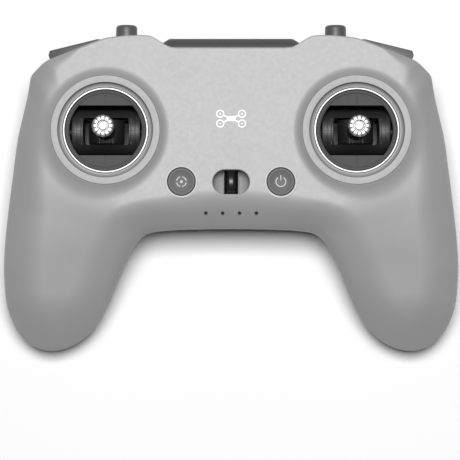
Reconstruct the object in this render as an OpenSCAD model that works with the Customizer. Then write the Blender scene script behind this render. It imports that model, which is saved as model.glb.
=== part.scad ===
// Hand-held radio transmitter with two self-centring gimbal sticks.
// Lies on its back: +X to the user's right, +Y towards the antenna end, +Z up through the sticks.
// The origin is on the table, under the middle of the controller. Millimetres.

/* [Body] */
// Overall width across the handles
body_w = 166; // [164:0.5:168]
// Overall length, handle ends to toggle tips
body_l = 119; // [118.5:0.25:120]
// Height of the flat face above the table
face_z = 42; // [41.5:0.25:42.5]
// Thickness of the moulded shells
shell_t = 2.2; // [2:0.1:2.4]

/* [Gimbals] */
// Distance of each gimbal from the middle
gimbal_x = 45; // [44.75:0.25:45.25]
// Gimbal centre towards the antenna end
gimbal_y = 19.6; // [19.3:0.1:19.9]
// Height of the stick pivots above the table
pivot_z = 29.8; // [29.6:0.1:30]
// Height of the stick tips above the table
tip_z = 62; // [60:0.5:63]

/* [Buttons] */
// Distance of the two face buttons from the middle
button_x = 17.8; // [17.4:0.1:18.2]
// Distance between neighbouring battery lights
led_pitch = 6.05; // [5.8:0.05:6.3]

/* [Hidden] */
$fn = 48;

shell_grey = [0.72, 0.72, 0.72];
dark_grey = [0.25, 0.25, 0.26];
near_black = [0.06, 0.06, 0.06];
steel = [0.75, 0.76, 0.78];
board_green = [0.05, 0.25, 0.12];

// ---- Shell loft -------------------------------------------------------------------------------
// Each rib runs from the inner edge (the arch between the handles) to the outer edge:
// [inner x, inner y, outer x, outer y, crown z, keel z, inner seam z, outer seam z, outer wall]
tip_y = -body_l / 2;
half_w = body_w / 2;
arch_y = -15.1;
notch_y = 48.9;
shoulder_y = 53.6;
ribs = [
    [65.9, tip_y, 65.9, tip_y, 28.0, 2.0, 13.0, 13.0, 2],
    [60.2, -58.4, 71.3, -58.4, 28.2, 1.9, 13.2, 13.2, 2],
    [54.6, -55.4, 76.0, -55.1, 28.6, 1.7, 14.0, 13.7, 2],
    [50.0, -50.9, half_w - 3.3, -49.8, 29.6, 1.5, 15.2, 14.5, 2],
    [46.5, -45.4, half_w - 0.9, -43.0, 31.2, 1.5, 16.8, 15.6, 2],
    [43.2, -38.6, half_w - 0.1, -35.0, 33.2, 1.5, 18.6, 16.8, 2],
    [39.8, -30.5, half_w, -27.0, 35.4, 1.6, 20.6, 18.0, 2],
    [36.8, -24.4, half_w - 0.7, -17.5, 37.6, 2.0, 22.4, 19.2, 2],
    [34.2, -20.0, half_w - 1.9, -7.0, 39.4, 2.4, 24.0, 20.2, 2],
    [31.4, -17.3, half_w - 3.5, 5.0, 41.0, 2.8, 25.4, 21.0, 2],
    [28.2, -16.2, half_w - 5.3, 18.0, 41.8, 3.0, 26.4, 21.6, 2],
    [25.0, -15.8, half_w - 8.0, 30.0, face_z, 3.0, 27.0, 22.0, 3],
    [21.8, -15.5, half_w - 10.7, 39.4, face_z, 3.0, 27.5, 22.0, 8],
    [18.6, -15.4, 66.5, 44.4, face_z, 3.0, 27.8, 22.0, 15],
    [15.2, -15.3, 55.1, 48.8, face_z, 3.0, 28.0, 22.0, 18.5],
    [12.0, -15.2, 45.4, 52.6, face_z, 3.0, 28.0, 22.0, 19.3],
    [9.5, -15.2, 37.6, shoulder_y, face_z, 3.0, 28.0, 22.0, 19.5],
    [7.2, arch_y, 29.1, shoulder_y, face_z, 3.0, 28.0, 22.0, 19.5],
    [5.4, arch_y, 22.0, notch_y, face_z, 3.0, 28.0, 22.0, 19.5],
    [2.7, arch_y, 11.0, notch_y, face_z, 3.0, 28.0, 22.0, 19.5],
    [0, arch_y, 0, notch_y, face_z, 3.0, 28.0, 22.0, 19.5]];
last_rib = len(ribs) - 1;
corner_rib = 12;      // ribs from here on meet straight edges, so they are joined linearly
first_u = 0.12;       // the loft starts this far along, where the handle end is a few millimetres wide
inner_u = 0.5;        // the hollow inside starts here
cap_l = 25;           // length over which a handle end rounds off
arch_bend = 14;       // width of the band that bends down to the arch between the handles
grip_bend = 23;       // and along the handles
side_bend = 19;       // width of the band that slopes down to the sides
top_bend = 3;         // width of the rounding along the antenna edge
arch_power = 2;       // shape of the front bends
side_power = 1.7;
edge_r = 2;           // rounding beside the seam
edge_power = 3;
rear_bend = 9;
rear_power = 3;
bezel_r = 20;         // raised ring around each gimbal
boss_w = 6.5;         // width of the fillet around it
boss_z = 43.9;
ribs_per_span = 2;
across = 18;
across_inside = 12;

function clamp01(t) = max(0, min(1, t));
function mix(a, b, t) = a + (b - a) * t;
function catmull(a, b, c, d, t) =
    0.5 * ((2 * b) + (c - a) * t + (2 * a - 5 * b + 4 * c - d) * t * t + (3 * b - a - 3 * c + d) * t * t * t);
// The rib before the first one is the second one mirrored, so the handle end closes round
function rib_row(i) = i >= 0 ? ribs[i]
    : concat([ribs[1][2], ribs[1][3], ribs[1][0], ribs[1][1]], [for (k = [4 : 8]) ribs[1][k]]);
function half_rib(u) = let (i = min(floor(u), last_rib - 1), t = u - i)
    i >= corner_rib ? mix(ribs[i], ribs[i + 1], t)
    : catmull(rib_row(i - 1), ribs[i], ribs[i + 1], ribs[min(i + 2, corner_rib)], t);
// Runs from the right handle (u near 0) across the middle (u = last_rib) to the left handle
function rib_at(u) = let (r = half_rib(u <= last_rib ? u : 2 * last_rib - u), s = u <= last_rib ? 1 : -1)
    [for (k = [0 : 8]) k == 0 || k == 2 ? s * r[k] : r[k]];

function rib_len(r) = norm([r[2] - r[0], r[3] - r[1]]);
function bulge(t, n) = pow(1 - pow(1 - clamp01(t), n), 1 / n);
function bend(t, n) = 1 - pow(1 - clamp01(t), n);
function cap(r, inset) = let (t = clamp01(((r[1] + r[3]) / 2 - tip_y - inset) / cap_l)) 1 - (1 - t) * (1 - t);
// 0 on the handles and 1 where the rib ends on the antenna side
function top_share(r) = clamp01((r[8] - 3) / 12);
function boss(x, y, z) = let (d = norm([abs(x) - gimbal_x, y - gimbal_y]))
    max(z, z + (boss_z - z) * pow(1 - clamp01((d - bezel_r) / boss_w), 2.5));
// Height of the front surface at a share s along rib r, for a skin set in by inset
function front_z(r, s, inset) = let (
    l = rib_len(r) - 2 * inset, da = s * l, db = (1 - s) * l,
    seam = mix(r[6], r[7], s), wall = mix(2, r[8], s),
    lip = bulge(min(da, db) / edge_r, edge_power),
    rise = max(0.1, r[4] - inset - seam - wall),
    reach_a = min(mix(grip_bend, arch_bend, top_share(r)), l / 2),
    reach_b = min(mix(side_bend, top_bend, top_share(r)), l / 2),
    shape = bend(da / reach_a, mix(side_power, arch_power, top_share(r))) * bend(db / reach_b, side_power))
    seam + wall * lip * (inset > 0 ? 0.9 : 1) + rise * shape * cap(r, inset);
function rear_z(r, s, inset) = let (
    l = rib_len(r) - 2 * inset, da = s * l, db = (1 - s) * l,
    seam = mix(r[6], r[7], s),
    reach = mix(l / 2, rear_bend, clamp01((r[1] + 40) / 24)),
    reach_b = mix(l / 2, rear_bend + 6, clamp01((r[3] + 30) / 40)),
    shape = bulge(da / min(reach, l / 2), rear_power) * bulge(db / min(reach_b, l / 2), rear_power))
    seam - (seam - r[5] - inset) * shape * pow(cap(r, inset), 0.5);
function share(j, n) = 0.5 * (1 - cos(180 * j / n));
function place(r, s, inset) = let (l = rib_len(r), q = mix(inset / l, 1 - inset / l, s))
    [mix(r[0], r[2], q), mix(r[1], r[3], q)];
function front_point(r, s, inset) = let (p = place(r, s, inset), z = front_z(r, s, inset))
    [p[0], p[1], inset > 0 ? z : boss(p[0], p[1], z)];
function rear_point(r, s, inset) = let (p = place(r, s, inset)) [p[0], p[1], rear_z(r, s, inset)];
function seam_point(r, s, inset, dz) = let (p = place(r, s, inset)) [p[0], p[1], mix(r[6], r[7], s) + dz];

// Closed skin: one loop of points per rib, with both ends closed by a fan. Each four-cornered patch is
// split along one diagonal, or along the other one, so that touching skins split a shared patch alike.
module skin(loops, other_way = false) {
    m = len(loops[0]);
    n = len(loops);
    faces = concat(
        [for (i = [0 : n - 2], j = [0 : m - 1]) let (k = (j + 1) % m) each
            other_way ? [[i * m + j, (i + 1) * m + j, (i + 1) * m + k], [i * m + j, (i + 1) * m + k, i * m + k]]
            : [[i * m + j, (i + 1) * m + j, i * m + k], [i * m + k, (i + 1) * m + j, (i + 1) * m + k]]],
        [for (j = [1 : m - 2]) [0, j, j + 1]],
        [for (j = [1 : m - 2]) [(n - 1) * m, (n - 1) * m + j + 1, (n - 1) * m + j]]);
    polyhedron(points = [for (l = loops) each l], faces = faces, convexity = 10);
}
function stations(start) = let (n = last_rib * 2 * ribs_per_span, k = floor(start * ribs_per_span))
    [for (i = [k : n - k]) max(start, min(2 * last_rib - start, i / ribs_per_span))];
module front_solid(inset, below) {
    n = inset > 0 ? across_inside : across;
    skin([for (u = stations(inset > 0 ? inner_u : first_u)) let (r = rib_at(u)) concat(
        [for (j = [0 : n]) front_point(r, share(j, n), inset)],
        below > 0 ? [seam_point(r, 1, inset, -below), seam_point(r, 0, inset, -below)] : [])]);
}
module rear_solid(inset, above) {
    n = inset > 0 ? across_inside : across;
    skin([for (u = stations(inset > 0 ? inner_u : first_u)) let (r = rib_at(u)) concat(
        [for (j = [n : -1 : 0]) rear_point(r, share(j, n), inset)],
        above > 0 ? [seam_point(r, 0, inset, above), seam_point(r, 1, inset, above)] : [])], true);
}

// ---- Small helpers ----------------------------------------------------------------------------
module both_sides() { children(); mirror([1, 0, 0]) children(); }
module side(s) { if (s > 0) children(); else mirror([1, 0, 0]) children(); }
module at_gimbal() translate([gimbal_x, gimbal_y, 0]) children();
module at_pivot() translate([gimbal_x, gimbal_y, pivot_z]) children();
module rod_x(r, l) rotate([0, 90, 0]) cylinder(r = r, h = l, center = true);
module rod_y(r, l) rotate([90, 0, 0]) cylinder(r = r, h = l, center = true);
module block(x0, x1, y0, y1, z0, z1) translate([x0, y0, z0]) cube([x1 - x0, y1 - y0, z1 - z0]);
module slot_z(w, d, h) linear_extrude(h) {
    square([w - d, d], center = true);
    for (s = [-1, 1]) translate([s * (w - d) / 2, 0]) circle(d = d);
}
// A slot along X with round ends, running from y0 to y1
module slot_y(w, d, y0, y1) translate([0, y1, 0]) rotate([90, 0, 0]) slot_z(w, d, y1 - y0);
module plate(w, d, h, r) linear_extrude(h) {
    square([w - 2 * r, d], center = true);
    square([w, d - 2 * r], center = true);
    for (x = [-1, 1], y = [-1, 1]) translate([x * (w / 2 - r), y * (d / 2 - r)]) circle(r);
}
// A rounded plate standing across Y, from y0 to y1
module plate_y(w, d, y0, y1, r) translate([0, y1, 0]) rotate([90, 0, 0]) plate(w, d, y1 - y0, r);
module ring(r_out, r_in, h) difference() {
    cylinder(r = r_out, h = h);
    translate([0, 0, -1]) cylinder(r = r_in, h = h + 2);
}

// ---- Placement of the pieces ------------------------------------------------------------------
fit = 0.03;               // running clearance of a shaft in its bore
antenna_w = 50.4;
antenna_d = 4.3;
antenna_lo = 10;
antenna_hi = 33;
antenna_r = 3;            // its rounded back corners
toggle_x = 38.2;
toggle_z = 22;
toggle_pivot_y = 44.5;
toggle_head_y = 49.8;
toggle_r = 3.85;
well_y = 51.2;            // outer face of the toggle bezels
shoulder_in = [45.4, 52.6];
shoulder_out = [66.5, 44.4];
shoulder_a = atan2(shoulder_out[1] - shoulder_in[1], shoulder_out[0] - shoulder_in[0]);
shoulder_lo = 14;
shoulder_hi = 32;
shoulder_pivot = [4.2, -4.6];
dial_r = 7;
dial_z = 9.5;
dial_at = [9.9, -6.6];    // in the frame of the sloping shoulder
button_y = 1.15;
button_r = 4.95;
button_z = 42.7;          // top of the face buttons' bezels
bezel_hole = 5.85;
lug_y = 1;                // middle of the lanyard recess
lug_w = 13.1;
lug_d = 8.7;
scoop_r = 8;
scoop_z = 32.8;           // floor of the lanyard recess
bar_z = 40.6;             // middle of the bar across it
bar_w = 3;
channel_w = 5.6;
led_y = -10;
port_z = 13.5;
port_w = 50;
port_h = 12.2;
store_x = 17.5;
store_r = 4.3;
store_l = 24;
cover_c = [0, 25];
cover_size = [56, 34];
board_posts = [[20, 16], [20, 43.5]];
led_post = [12.2, 6];
board_z = 15.2;
board_t = 1.6;
led_board_z = 28.4;
led_board_t = 1.2;
flange_z = 31.3;          // gimbal frame's mounting flange
flange_t = 1.5;
flange_x = 17.4;
flange_y = 15;
barrel_r = 8.4;
barrel_l = 24.8;
shaft_r = 2.5;
hub_r = 6.4;
pin_r = 1.25;
bearing_r = 4.5;
post_r = 1.6;
cover_z = 38.3;           // underside of the gimbal covers
disc_z = 41;              // top of the gimbal covers
screw_sites = [[28, 46], [70, 12], [62, -36], [27.5, -7]];
boss_starts = [24, 23.5, 20.5, 26];   // where the front shell's screw bosses begin

module at_shoulder(z = 0) translate([shoulder_in[0], shoulder_in[1], z]) rotate([0, 0, shoulder_a]) children();
module at_toggle() translate([toggle_x, 0, toggle_z]) children();

// ---- Housing ----------------------------------------------------------------------------------
module shell_cuts() {
    both_sides() {
        at_gimbal() translate([0, 0, 30]) cylinder(r = bezel_r + 0.05, h = 20, $fn = 96);
        at_toggle() plate_y(13, 19, well_y - 2.1, well_y + 8, 2);
        at_shoulder((shoulder_lo + shoulder_hi) / 2) translate([11.1, 0, 0])
            plate_y(21, shoulder_hi - shoulder_lo + 0.7, -6, 6, 0.8);
    }
    translate([0, 0, port_z]) slot_y(port_w, port_h, arch_y - 4, arch_y + 6);
    block(-antenna_w / 2 - 0.1, antenna_w / 2 + 0.1, notch_y - 0.05, notch_y + 9, antenna_lo - 0.1, antenna_hi + 0.1);
    mirror([1, 0, 0]) at_shoulder(dial_z) block(dial_at[0] - 7.7, dial_at[0] + 7.7, -8, 6, -2.9, 2.9);
    at_shoulder(dial_z) translate([dial_at[0], 0, 0]) rod_y(store_r, 16);
}
module lanyard_recess() intersection() {
    translate([0, lug_y, scoop_z]) slot_z(lug_w, lug_d, 12);
    union() {
        translate([0, lug_y, scoop_z + scoop_r]) rod_y(scoop_r, 20);
        translate([0, lug_y, scoop_z + scoop_r + 5]) cube([20, 20, 10], center = true);
    }
}
module front_bosses() both_sides() {
    for (i = [-1, 1], j = [-1, 1]) at_gimbal() translate([flange_x * i, flange_y * j, flange_z + flange_t])
        cylinder(r = 2.4, h = 8);
    for (i = [0 : 3]) translate([screw_sites[i][0], screw_sites[i][1], boss_starts[i]])
        cylinder(r = 2.8, h = 16);
    translate([led_post[0], led_post[1], led_board_z + led_board_t]) cylinder(r = 1.6, h = 11);
}
module front_shell() color(shell_grey) difference() {
    union() {
        difference() {
            front_solid(0, 0);
            front_solid(shell_t, 2);
        }
        intersection() {
            union() {
                translate([0, lug_y, scoop_z - 1.5]) slot_z(lug_w + 3.4, lug_d + 3.4, 12);
                front_bosses();
            }
            front_solid(0, 0);
        }
        both_sides() for (p = board_posts) translate([p[0], p[1], board_z + board_t])
            cylinder(r = 2.2, h = face_z - 1 - board_z - board_t);
    }
    shell_cuts();
    lanyard_recess();
    for (s = [-1, 1]) translate([s * button_x, button_y, 30]) cylinder(r = bezel_hole, h = 20);
    for (i = [-1.5 : 1.5]) translate([i * led_pitch, led_y, 25]) cylinder(r = 0.65, h = 20);
    both_sides() {
        for (i = [0 : 3]) translate([screw_sites[i][0], screw_sites[i][1], 10])
            cylinder(r = 0.9, h = boss_starts[i] - 4);
        for (i = [-1, 1], j = [-1, 1]) at_gimbal() translate([flange_x * i, flange_y * j, flange_z])
            cylinder(r = 1, h = 4.2);
        for (p = board_posts) translate([p[0], p[1], board_z]) cylinder(r = 0.8, h = 7);
        translate([led_post[0], led_post[1], led_board_z]) cylinder(r = 0.8, h = 5);
    }
}
module rear_shell() color(shell_grey) difference() {
    union() {
        difference() {
            rear_solid(0, 0);
            rear_solid(shell_t, 2);
        }
        intersection() {
            both_sides() for (i = [0 : 3]) translate([screw_sites[i][0], screw_sites[i][1], 1])
                cylinder(r = 3.4, h = boss_starts[i] - 1.2);
            rear_solid(0, 0);
        }
    }
    shell_cuts();
    translate([cover_c[0], cover_c[1], -1]) plate(cover_size[0] + 0.4, cover_size[1] + 0.4, 8, 5);
    both_sides() for (p = screw_sites) {
        translate([p[0], p[1], 0]) cylinder(r = 1.35, h = 40);
        translate([p[0], p[1], -1]) cylinder(r = 2.5, h = 6.5);
    }
}
pad_step = 0.5;
pad_us = [for (u = [2.5 : pad_step : 8]) u];
pad_lo = 4;
pad_hi = 14;
function pad_swell(i, j) = pow(min(sin(180 * (j - pad_lo) / (pad_hi - pad_lo)),
    sin(180 * i / (len(pad_us) - 1))), 0.35);
module grip_pad(s) color(near_black) side(s)
    skin([for (i = [0 : len(pad_us) - 1]) let (r = rib_at(pad_us[i])) concat(
        [for (j = [pad_hi : -1 : pad_lo]) let (p = rear_point(r, share(j, across), 0))
            [p[0], p[1], p[2] - 0.25 - 0.95 * max(0, pad_swell(i, j))]],
        [for (j = [pad_lo : pad_hi]) rear_point(r, share(j, across), 0)])], s < 0);
module rear_cover() color(dark_grey) translate([cover_c[0], cover_c[1], 0]) difference() {
    union() {
        plate(cover_size[0] - 1, cover_size[1] - 1, 1, 4.5);
        translate([0, 0, 0.5]) plate(cover_size[0], cover_size[1], 4.7, 5);
        for (s = [-1, 1], y = [-9, 9]) translate([s * (cover_size[0] / 2 - 0.4), y, 5.2]) {
            translate([-s * 0.5, 0, 0]) cube([1, 6, 2], center = true);
            translate([0, 0, 0.7]) cube([2, 6, 1], center = true);
        }
    }
    translate([0, 0, 1.6]) plate(cover_size[0] - 3.6, cover_size[1] - 3.6, 8, 3.5);
}
module antenna_outline(inset) intersection() {
    translate([0, antenna_d]) square([antenna_w, 2 * antenna_d], center = true);
    union() {
        translate([0, (antenna_d - inset) / 2]) square([antenna_w - 2 * antenna_r, antenna_d - inset], center = true);
        translate([0, (antenna_d - antenna_r) / 2])
            square([antenna_w - 2 * inset, antenna_d - antenna_r], center = true);
        for (s = [-1, 1]) translate([s * (antenna_w / 2 - antenna_r), antenna_d - antenna_r])
            circle(antenna_r - inset);
    }
}
module antenna_cover() color(dark_grey) translate([0, notch_y, 0]) difference() {
    union() {
        translate([0, 0, antenna_lo + 0.6]) linear_extrude(antenna_hi - antenna_lo - 1.2) antenna_outline(0);
        translate([0, 0, antenna_lo]) linear_extrude(antenna_hi - antenna_lo) antenna_outline(0.6);
    }
    block(-21, 21, -1, 2, 12.5, 30.5);
}
module antenna_elements() color(board_green) both_sides() block(2, 19, notch_y + 0.2, notch_y + 1.2, 14, 29);
module lanyard_bar() color(near_black) {
    intersection() {
        lanyard_recess();
        translate([0, lug_y, 0]) union() {
            block(-channel_w / 2, channel_w / 2, -5, 5, scoop_z - 1, scoop_z + 1.2);
            for (s = [-1, 1]) translate([0, s * 3.95, 0]) block(-channel_w / 2, channel_w / 2, -0.5, 0.5,
                scoop_z, bar_z + 1.2);
        }
    }
    translate([0, lug_y, bar_z]) rotate([90, 0, 0]) translate([0, 0, -3.5]) slot_z(bar_w, 2, 7);
}
module port_insert() color(near_black) difference() {
    union() {
        translate([0, 0, port_z]) slot_y(port_w - 0.2, port_h - 0.2, arch_y + 0.6, arch_y + 3.4);
        for (s = [-1, 1]) translate([s * store_x, arch_y + 3 + store_l / 2, port_z]) rod_y(5.3, store_l);
    }
    for (s = [-1, 1]) translate([s * store_x, arch_y + 0.6 + store_l / 2 - 0.5, port_z]) rod_y(store_r, store_l + 1);
    translate([0, 0, port_z]) slot_y(10.2, 4.4, arch_y, arch_y + 1.9);
    translate([0, 0, port_z]) slot_y(9.1, 3.4, arch_y, arch_y + 5);
}
module usb_receptacle() color(steel) translate([0, 0, port_z]) {
    difference() {
        slot_y(8.94, 3.26, arch_y + 1.9, arch_y + 9.3);
        slot_y(8.34, 2.56, arch_y, arch_y + 8.6);
    }
    block(-3.35, 3.35, arch_y + 2.6, arch_y + 8.7, -0.35, 0.35);
}
module case_screws() color(steel) both_sides() for (i = [0 : 3])
    translate([screw_sites[i][0], screw_sites[i][1], 3.4]) {
        difference() {
            cylinder(r = 2.35, h = 2.1);
            translate([0, 0, -1]) cylinder(r = 0.9, h = 2.2, $fn = 6);
        }
        cylinder(r = 0.9, h = boss_starts[i] + 2.4);
    }

// ---- Face controls ----------------------------------------------------------------------------
module button_bezels() color(shell_grey) for (s = [-1, 1]) translate([s * button_x, button_y, 0])
    rotate_extrude() polygon([[5.05, 38.6], [5.8, 38.6], [5.8, button_z - 0.25], [5.55, button_z],
        [5.3, button_z], [5.05, button_z - 0.2]]);
module face_button(s) color(dark_grey) translate([s * button_x, button_y, 0]) {
    translate([0, 0, button_z]) rotate_extrude() polygon([[0, -3.5], [button_r, -3.5], [button_r, -0.4],
        [button_r - 0.2, -0.15], [button_r - 0.5, -0.1], [3.4, -0.35], [2, -0.52], [0, -0.6]]);
    translate([0, 0, 35.2]) cylinder(r = 1.5, h = 5);
}
module led_light_guide() color([0.9, 0.92, 0.95]) {
    for (i = [-1.5 : 1.5]) translate([i * led_pitch, led_y, 30.2]) cylinder(r = 0.6, h = 5.6);
    translate([0, led_y, 30.2]) slot_z(led_pitch * 3 + 2, 1.8, 1);
}
module led_board() color(board_green) difference() {
    block(-24, 24, -11.5, 8, led_board_z, led_board_z + led_board_t);
    for (s = [-1, 1]) translate([s * 27.5, -7, 20]) cylinder(r = 3.9, h = 20);
    for (s = [-1, 1]) translate([s * led_post[0], led_post[1], 20]) cylinder(r = 1, h = 20);
}
module tact_switch(h) {
    translate([0, 0, (h - 0.9) / 2]) cube([5.2, 5.2, h - 0.9], center = true);
    cylinder(r = 1.2, h = h);
}
module tact_switches() color(near_black) {
    for (s = [-1, 1]) translate([s * button_x, button_y, led_board_z + led_board_t])
        tact_switch(34.2 - led_board_z - led_board_t);
    both_sides() at_shoulder(23) translate([17, -6.9, 0]) rotate([-90, 0, 0]) tact_switch(2.8);
    at_shoulder(dial_z) translate([dial_at[0], -9.6, 0]) rotate([-90, 0, 0]) tact_switch(2.4);
}

// ---- Gimbals ----------------------------------------------------------------------------------
module gimbal_bezel(s) color(shell_grey) side(s) at_gimbal() rotate_extrude($fn = 96) polygon([
    [15.35, 39.65], [15.35, 41.75], [15.6, 42], [16.2, 42.15], [16.75, 42.7], [17, 43.35], [17.05, 44.05],
    [17.25, 44.25], [19.6, 44.3], [19.88, 44.15], [bezel_r, 43.8], [bezel_r, 39.65]]);
module trim_ring(s) color(steel) side(s) at_gimbal() translate([0, 0, 39.65])
    ring(15.3, 14.6, 2.3, $fn = 96);
module gimbal_cover(s) color(dark_grey) side(s) at_gimbal() difference() {
    union() {
        translate([0, 0, cover_z]) cylinder(r = bezel_r - 0.1, h = 1.3, $fn = 96);
        translate([0, 0, cover_z]) cylinder(r = 14.55, h = disc_z - cover_z, $fn = 96);
    }
    intersection() {
        translate([0, 0, 30]) cylinder(r = 13.1, h = 20, $fn = 96);
        translate([0, 0, 40]) cube([40, 18, 30], center = true);
    }
}
module gimbal_frame(s) color(near_black) side(s) difference() {
    union() {
        at_gimbal() block(-17, 17, -11.6, 11.6, 20.2, 36);
        at_gimbal() translate([0, 0, flange_z]) plate(2 * flange_x + 6, 2 * flange_y + 6, flange_t, 3);
    }
    at_gimbal() block(-13.2, 13.2, -10.2, 10.2, 10, 50);
    at_pivot() rod_x(bearing_r, 40);
    for (i = [-1, 1], j = [-1, 1]) at_gimbal() translate([flange_x * i, flange_y * j, 20])
        cylinder(r = 1.2, h = 20);
}
module gimbal_bearings() color(steel) both_sides() at_pivot() for (s = [-1, 1]) translate([s * 15, 0, 0])
    difference() {
        rod_x(bearing_r, 2.6);
        rod_x(shaft_r + fit, 4);
    }
module gimbal_sensor_boards() color(board_green) both_sides() at_gimbal() {
    block(-18.2, -17.2, -6, 6, 23, 31);
    block(-19.2, -18.2, -2, 2, pivot_z - 3, pivot_z + 1);
}
module centring_arms() color([0.85, 0.85, 0.82]) both_sides() at_gimbal() {
    block(17.2, 18.6, -9, 9, 26.6, 29.2);
    for (j = [-1, 1]) block(18.6, 20.6, j * 8 - 0.9, j * 8 + 0.9, 26.9, 28.9);
}
spring_turns = 5;
module centring_springs() color(steel) both_sides() at_gimbal() for (j = [-1, 1], i = [0 : spring_turns - 1])
    translate([19.6, j * 8, 24 + 0.55 * i]) rotate_extrude($fn = 32) translate([1.4, 0]) circle(0.26, $fn = 16);
module gimbal_screws() color(steel) both_sides() for (i = [-1, 1], j = [-1, 1])
    at_gimbal() translate([flange_x * i, flange_y * j, flange_z - 1.8]) {
        cylinder(r = 2, h = 1.8);
        cylinder(r = 1, h = 5.8);
    }
module barrel(s) color(near_black) side(s) at_pivot() difference() {
    union() {
        rod_x(barrel_r, barrel_l);
        rod_x(shaft_r, 33.2);
    }
    cube([16.3, 9.7, 40], center = true);
    rod_y(pin_r + fit, 15);
}
module stick_hub(s) color(near_black) side(s) at_pivot() difference() {
    union() {
        rod_y(hub_r, 8.8);
        rod_y(pin_r, 14);
    }
    translate([0, 0, 3]) cylinder(r = post_r, h = 10);
}
module stick_post(s) color(steel) side(s) at_pivot() translate([0, 0, 3])
    cylinder(r = post_r, h = tip_z - pivot_z - 3 - 1.9);
module stick_collar(s) color(steel) side(s) at_gimbal() translate([0, 0, tip_z - 14.4]) ring(2.7, post_r, 3.8);
module stick_tip(s) color([0.9, 0.9, 0.9]) side(s) at_gimbal() translate([0, 0, tip_z - 10]) difference() {
    rotate_extrude() polygon([[0, 0], [2.7, 0], [2.7, 3.5], [3.2, 5], [3.75, 7.4], [3.9, 8.6],
        [3.7, 9.4], [3.2, 9.8], [1.7, 10], [0, 10]]);
    translate([0, 0, -1]) cylinder(r = post_r + 0.05, h = 9.6);
    for (k = [0 : 11]) rotate([0, 0, 30 * k + 15]) block(2, 5, -0.28, 0.28, 7.6, 11);
}

// ---- Toggles, shoulder buttons, dial and start button -------------------------------------------
module toggle_bezels() color(near_black) both_sides() at_toggle() difference() {
    plate_y(12.9, 18.9, well_y - 2, well_y, 2);
    plate_y(8.6, 13, well_y - 3, well_y + 1, 4.2);
}
module toggle_switches() color(near_black) both_sides() at_toggle() {
    difference() {
        block(-5.8, 5.8, toggle_pivot_y - 6, toggle_pivot_y + 2.2, -7, 7);
        block(-4.3, 4.3, toggle_pivot_y - 3.8, 60, -8, 8);
    }
    translate([0, toggle_pivot_y, 0]) rod_x(1, 9);
}
toggle_l = body_l / 2 - toggle_head_y;
module toggle(s) color(dark_grey) side(s) at_toggle() difference() {
    union() {
        translate([0, toggle_pivot_y, 0]) rod_x(2.8, 8);
        translate([0, toggle_pivot_y + 3.5, 0]) rod_y(2.4, 7);
        translate([0, toggle_head_y, 0]) rotate([-90, 0, 0]) rotate_extrude() polygon([[0, 0], [3, 0],
            [toggle_r, 1], [toggle_r, toggle_l - 1], [toggle_r - 0.3, toggle_l - 0.3], [toggle_r - 1, toggle_l],
            [0, toggle_l]]);
    }
    translate([0, toggle_pivot_y, 0]) rod_x(1 + fit, 12);
}
module shoulder_button(s) color(dark_grey) side(s) at_shoulder() difference() {
    union() {
        translate([0, 0, shoulder_lo]) linear_extrude(shoulder_hi - shoulder_lo) polygon([[1, -0.4], [1.5, 0.5],
            [2.6, 0.9], [19.4, 3.3], [20.4, 3.1], [21, 2.3], [21.2, 1], [21.2, -1.9], [20.6, -2.6], [1, -2.6]]);
        translate([shoulder_pivot[0], shoulder_pivot[1], shoulder_lo + 3.2]) cylinder(r = 1.9, h = 11.6);
        block(3, 5.4, shoulder_pivot[1], -2, shoulder_lo + 3.2, shoulder_lo + 14.8);
    }
    translate([shoulder_pivot[0], shoulder_pivot[1], 0]) cylinder(r = 1 + fit, h = 40);
}
module shoulder_brackets() color(steel) both_sides() at_shoulder() difference() {
    union() {
        for (z = [shoulder_lo + 0.6, shoulder_lo + 15.2]) block(2.4, 6.4, -8.4, -3, z, z + 2.2);
        block(2.4, 6.4, -8.4, -6.9, shoulder_lo + 1, shoulder_lo + 17);
        block(2.4, 20.5, -8.4, -6.9, 19, 27);
    }
    translate([shoulder_pivot[0], shoulder_pivot[1], 0]) cylinder(r = 1, h = 40);
}
module start_switch_bracket() color(steel) at_shoulder() {
    block(6.9, 12.9, -10.8, -9.6, 6.9, 14.4);
    block(6.9, 12.9, -10.8, -8.4, 14.4, 16);
}
module shoulder_pins() color(steel) both_sides() at_shoulder()
    translate([shoulder_pivot[0], shoulder_pivot[1], shoulder_lo + 0.6]) cylinder(r = 1, h = 16.8);
module tilt_dial() color(dark_grey) mirror([1, 0, 0]) at_shoulder(dial_z) translate([dial_at[0], dial_at[1], 0])
    difference() {
        translate([0, 0, -2.5]) cylinder(r = dial_r, h = 5, $fn = 96);
        cylinder(r = 1 + fit, h = 20, center = true);
        for (k = [0 : 29]) rotate([0, 0, 12 * k]) translate([dial_r + 0.3, 0, 0])
            cylinder(r = 0.6, h = 20, center = true, $fn = 16);
    }
module dial_encoder() color(near_black) mirror([1, 0, 0]) at_shoulder(dial_z) translate([dial_at[0], dial_at[1], 0]) {
    translate([0, 0, -2.7]) cylinder(r = 1, h = 6);
    block(-2.5, 2.5, -11, 1.5, 2.9, 4.3);
    block(-5, 5, -12, -7.6, -2.5, 4.3);
}
module start_button() color(dark_grey) at_shoulder(dial_z) translate([dial_at[0], 0, 0]) rotate([90, 0, 0])
    rotate_extrude() polygon([[0, 0.5], [3.2, 0.6], [3.9, 0.9], [store_r - 0.1, 1.4], [store_r - 0.1, 4.4],
        [1.5, 4.4], [1.5, 6.2], [0, 6.2]]);

// ---- Electronics ------------------------------------------------------------------------------
module main_board() color(board_green) difference() {
    union() {
        block(-24, 24, 12.5, 45.4, board_z, board_z + board_t);
        block(-11, 11, -11, 12.6, board_z, board_z + board_t);
    }
    for (s = [-1, 1], p = board_posts) translate([s * p[0], p[1], 10]) cylinder(r = 1.1, h = 10);
}
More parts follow.
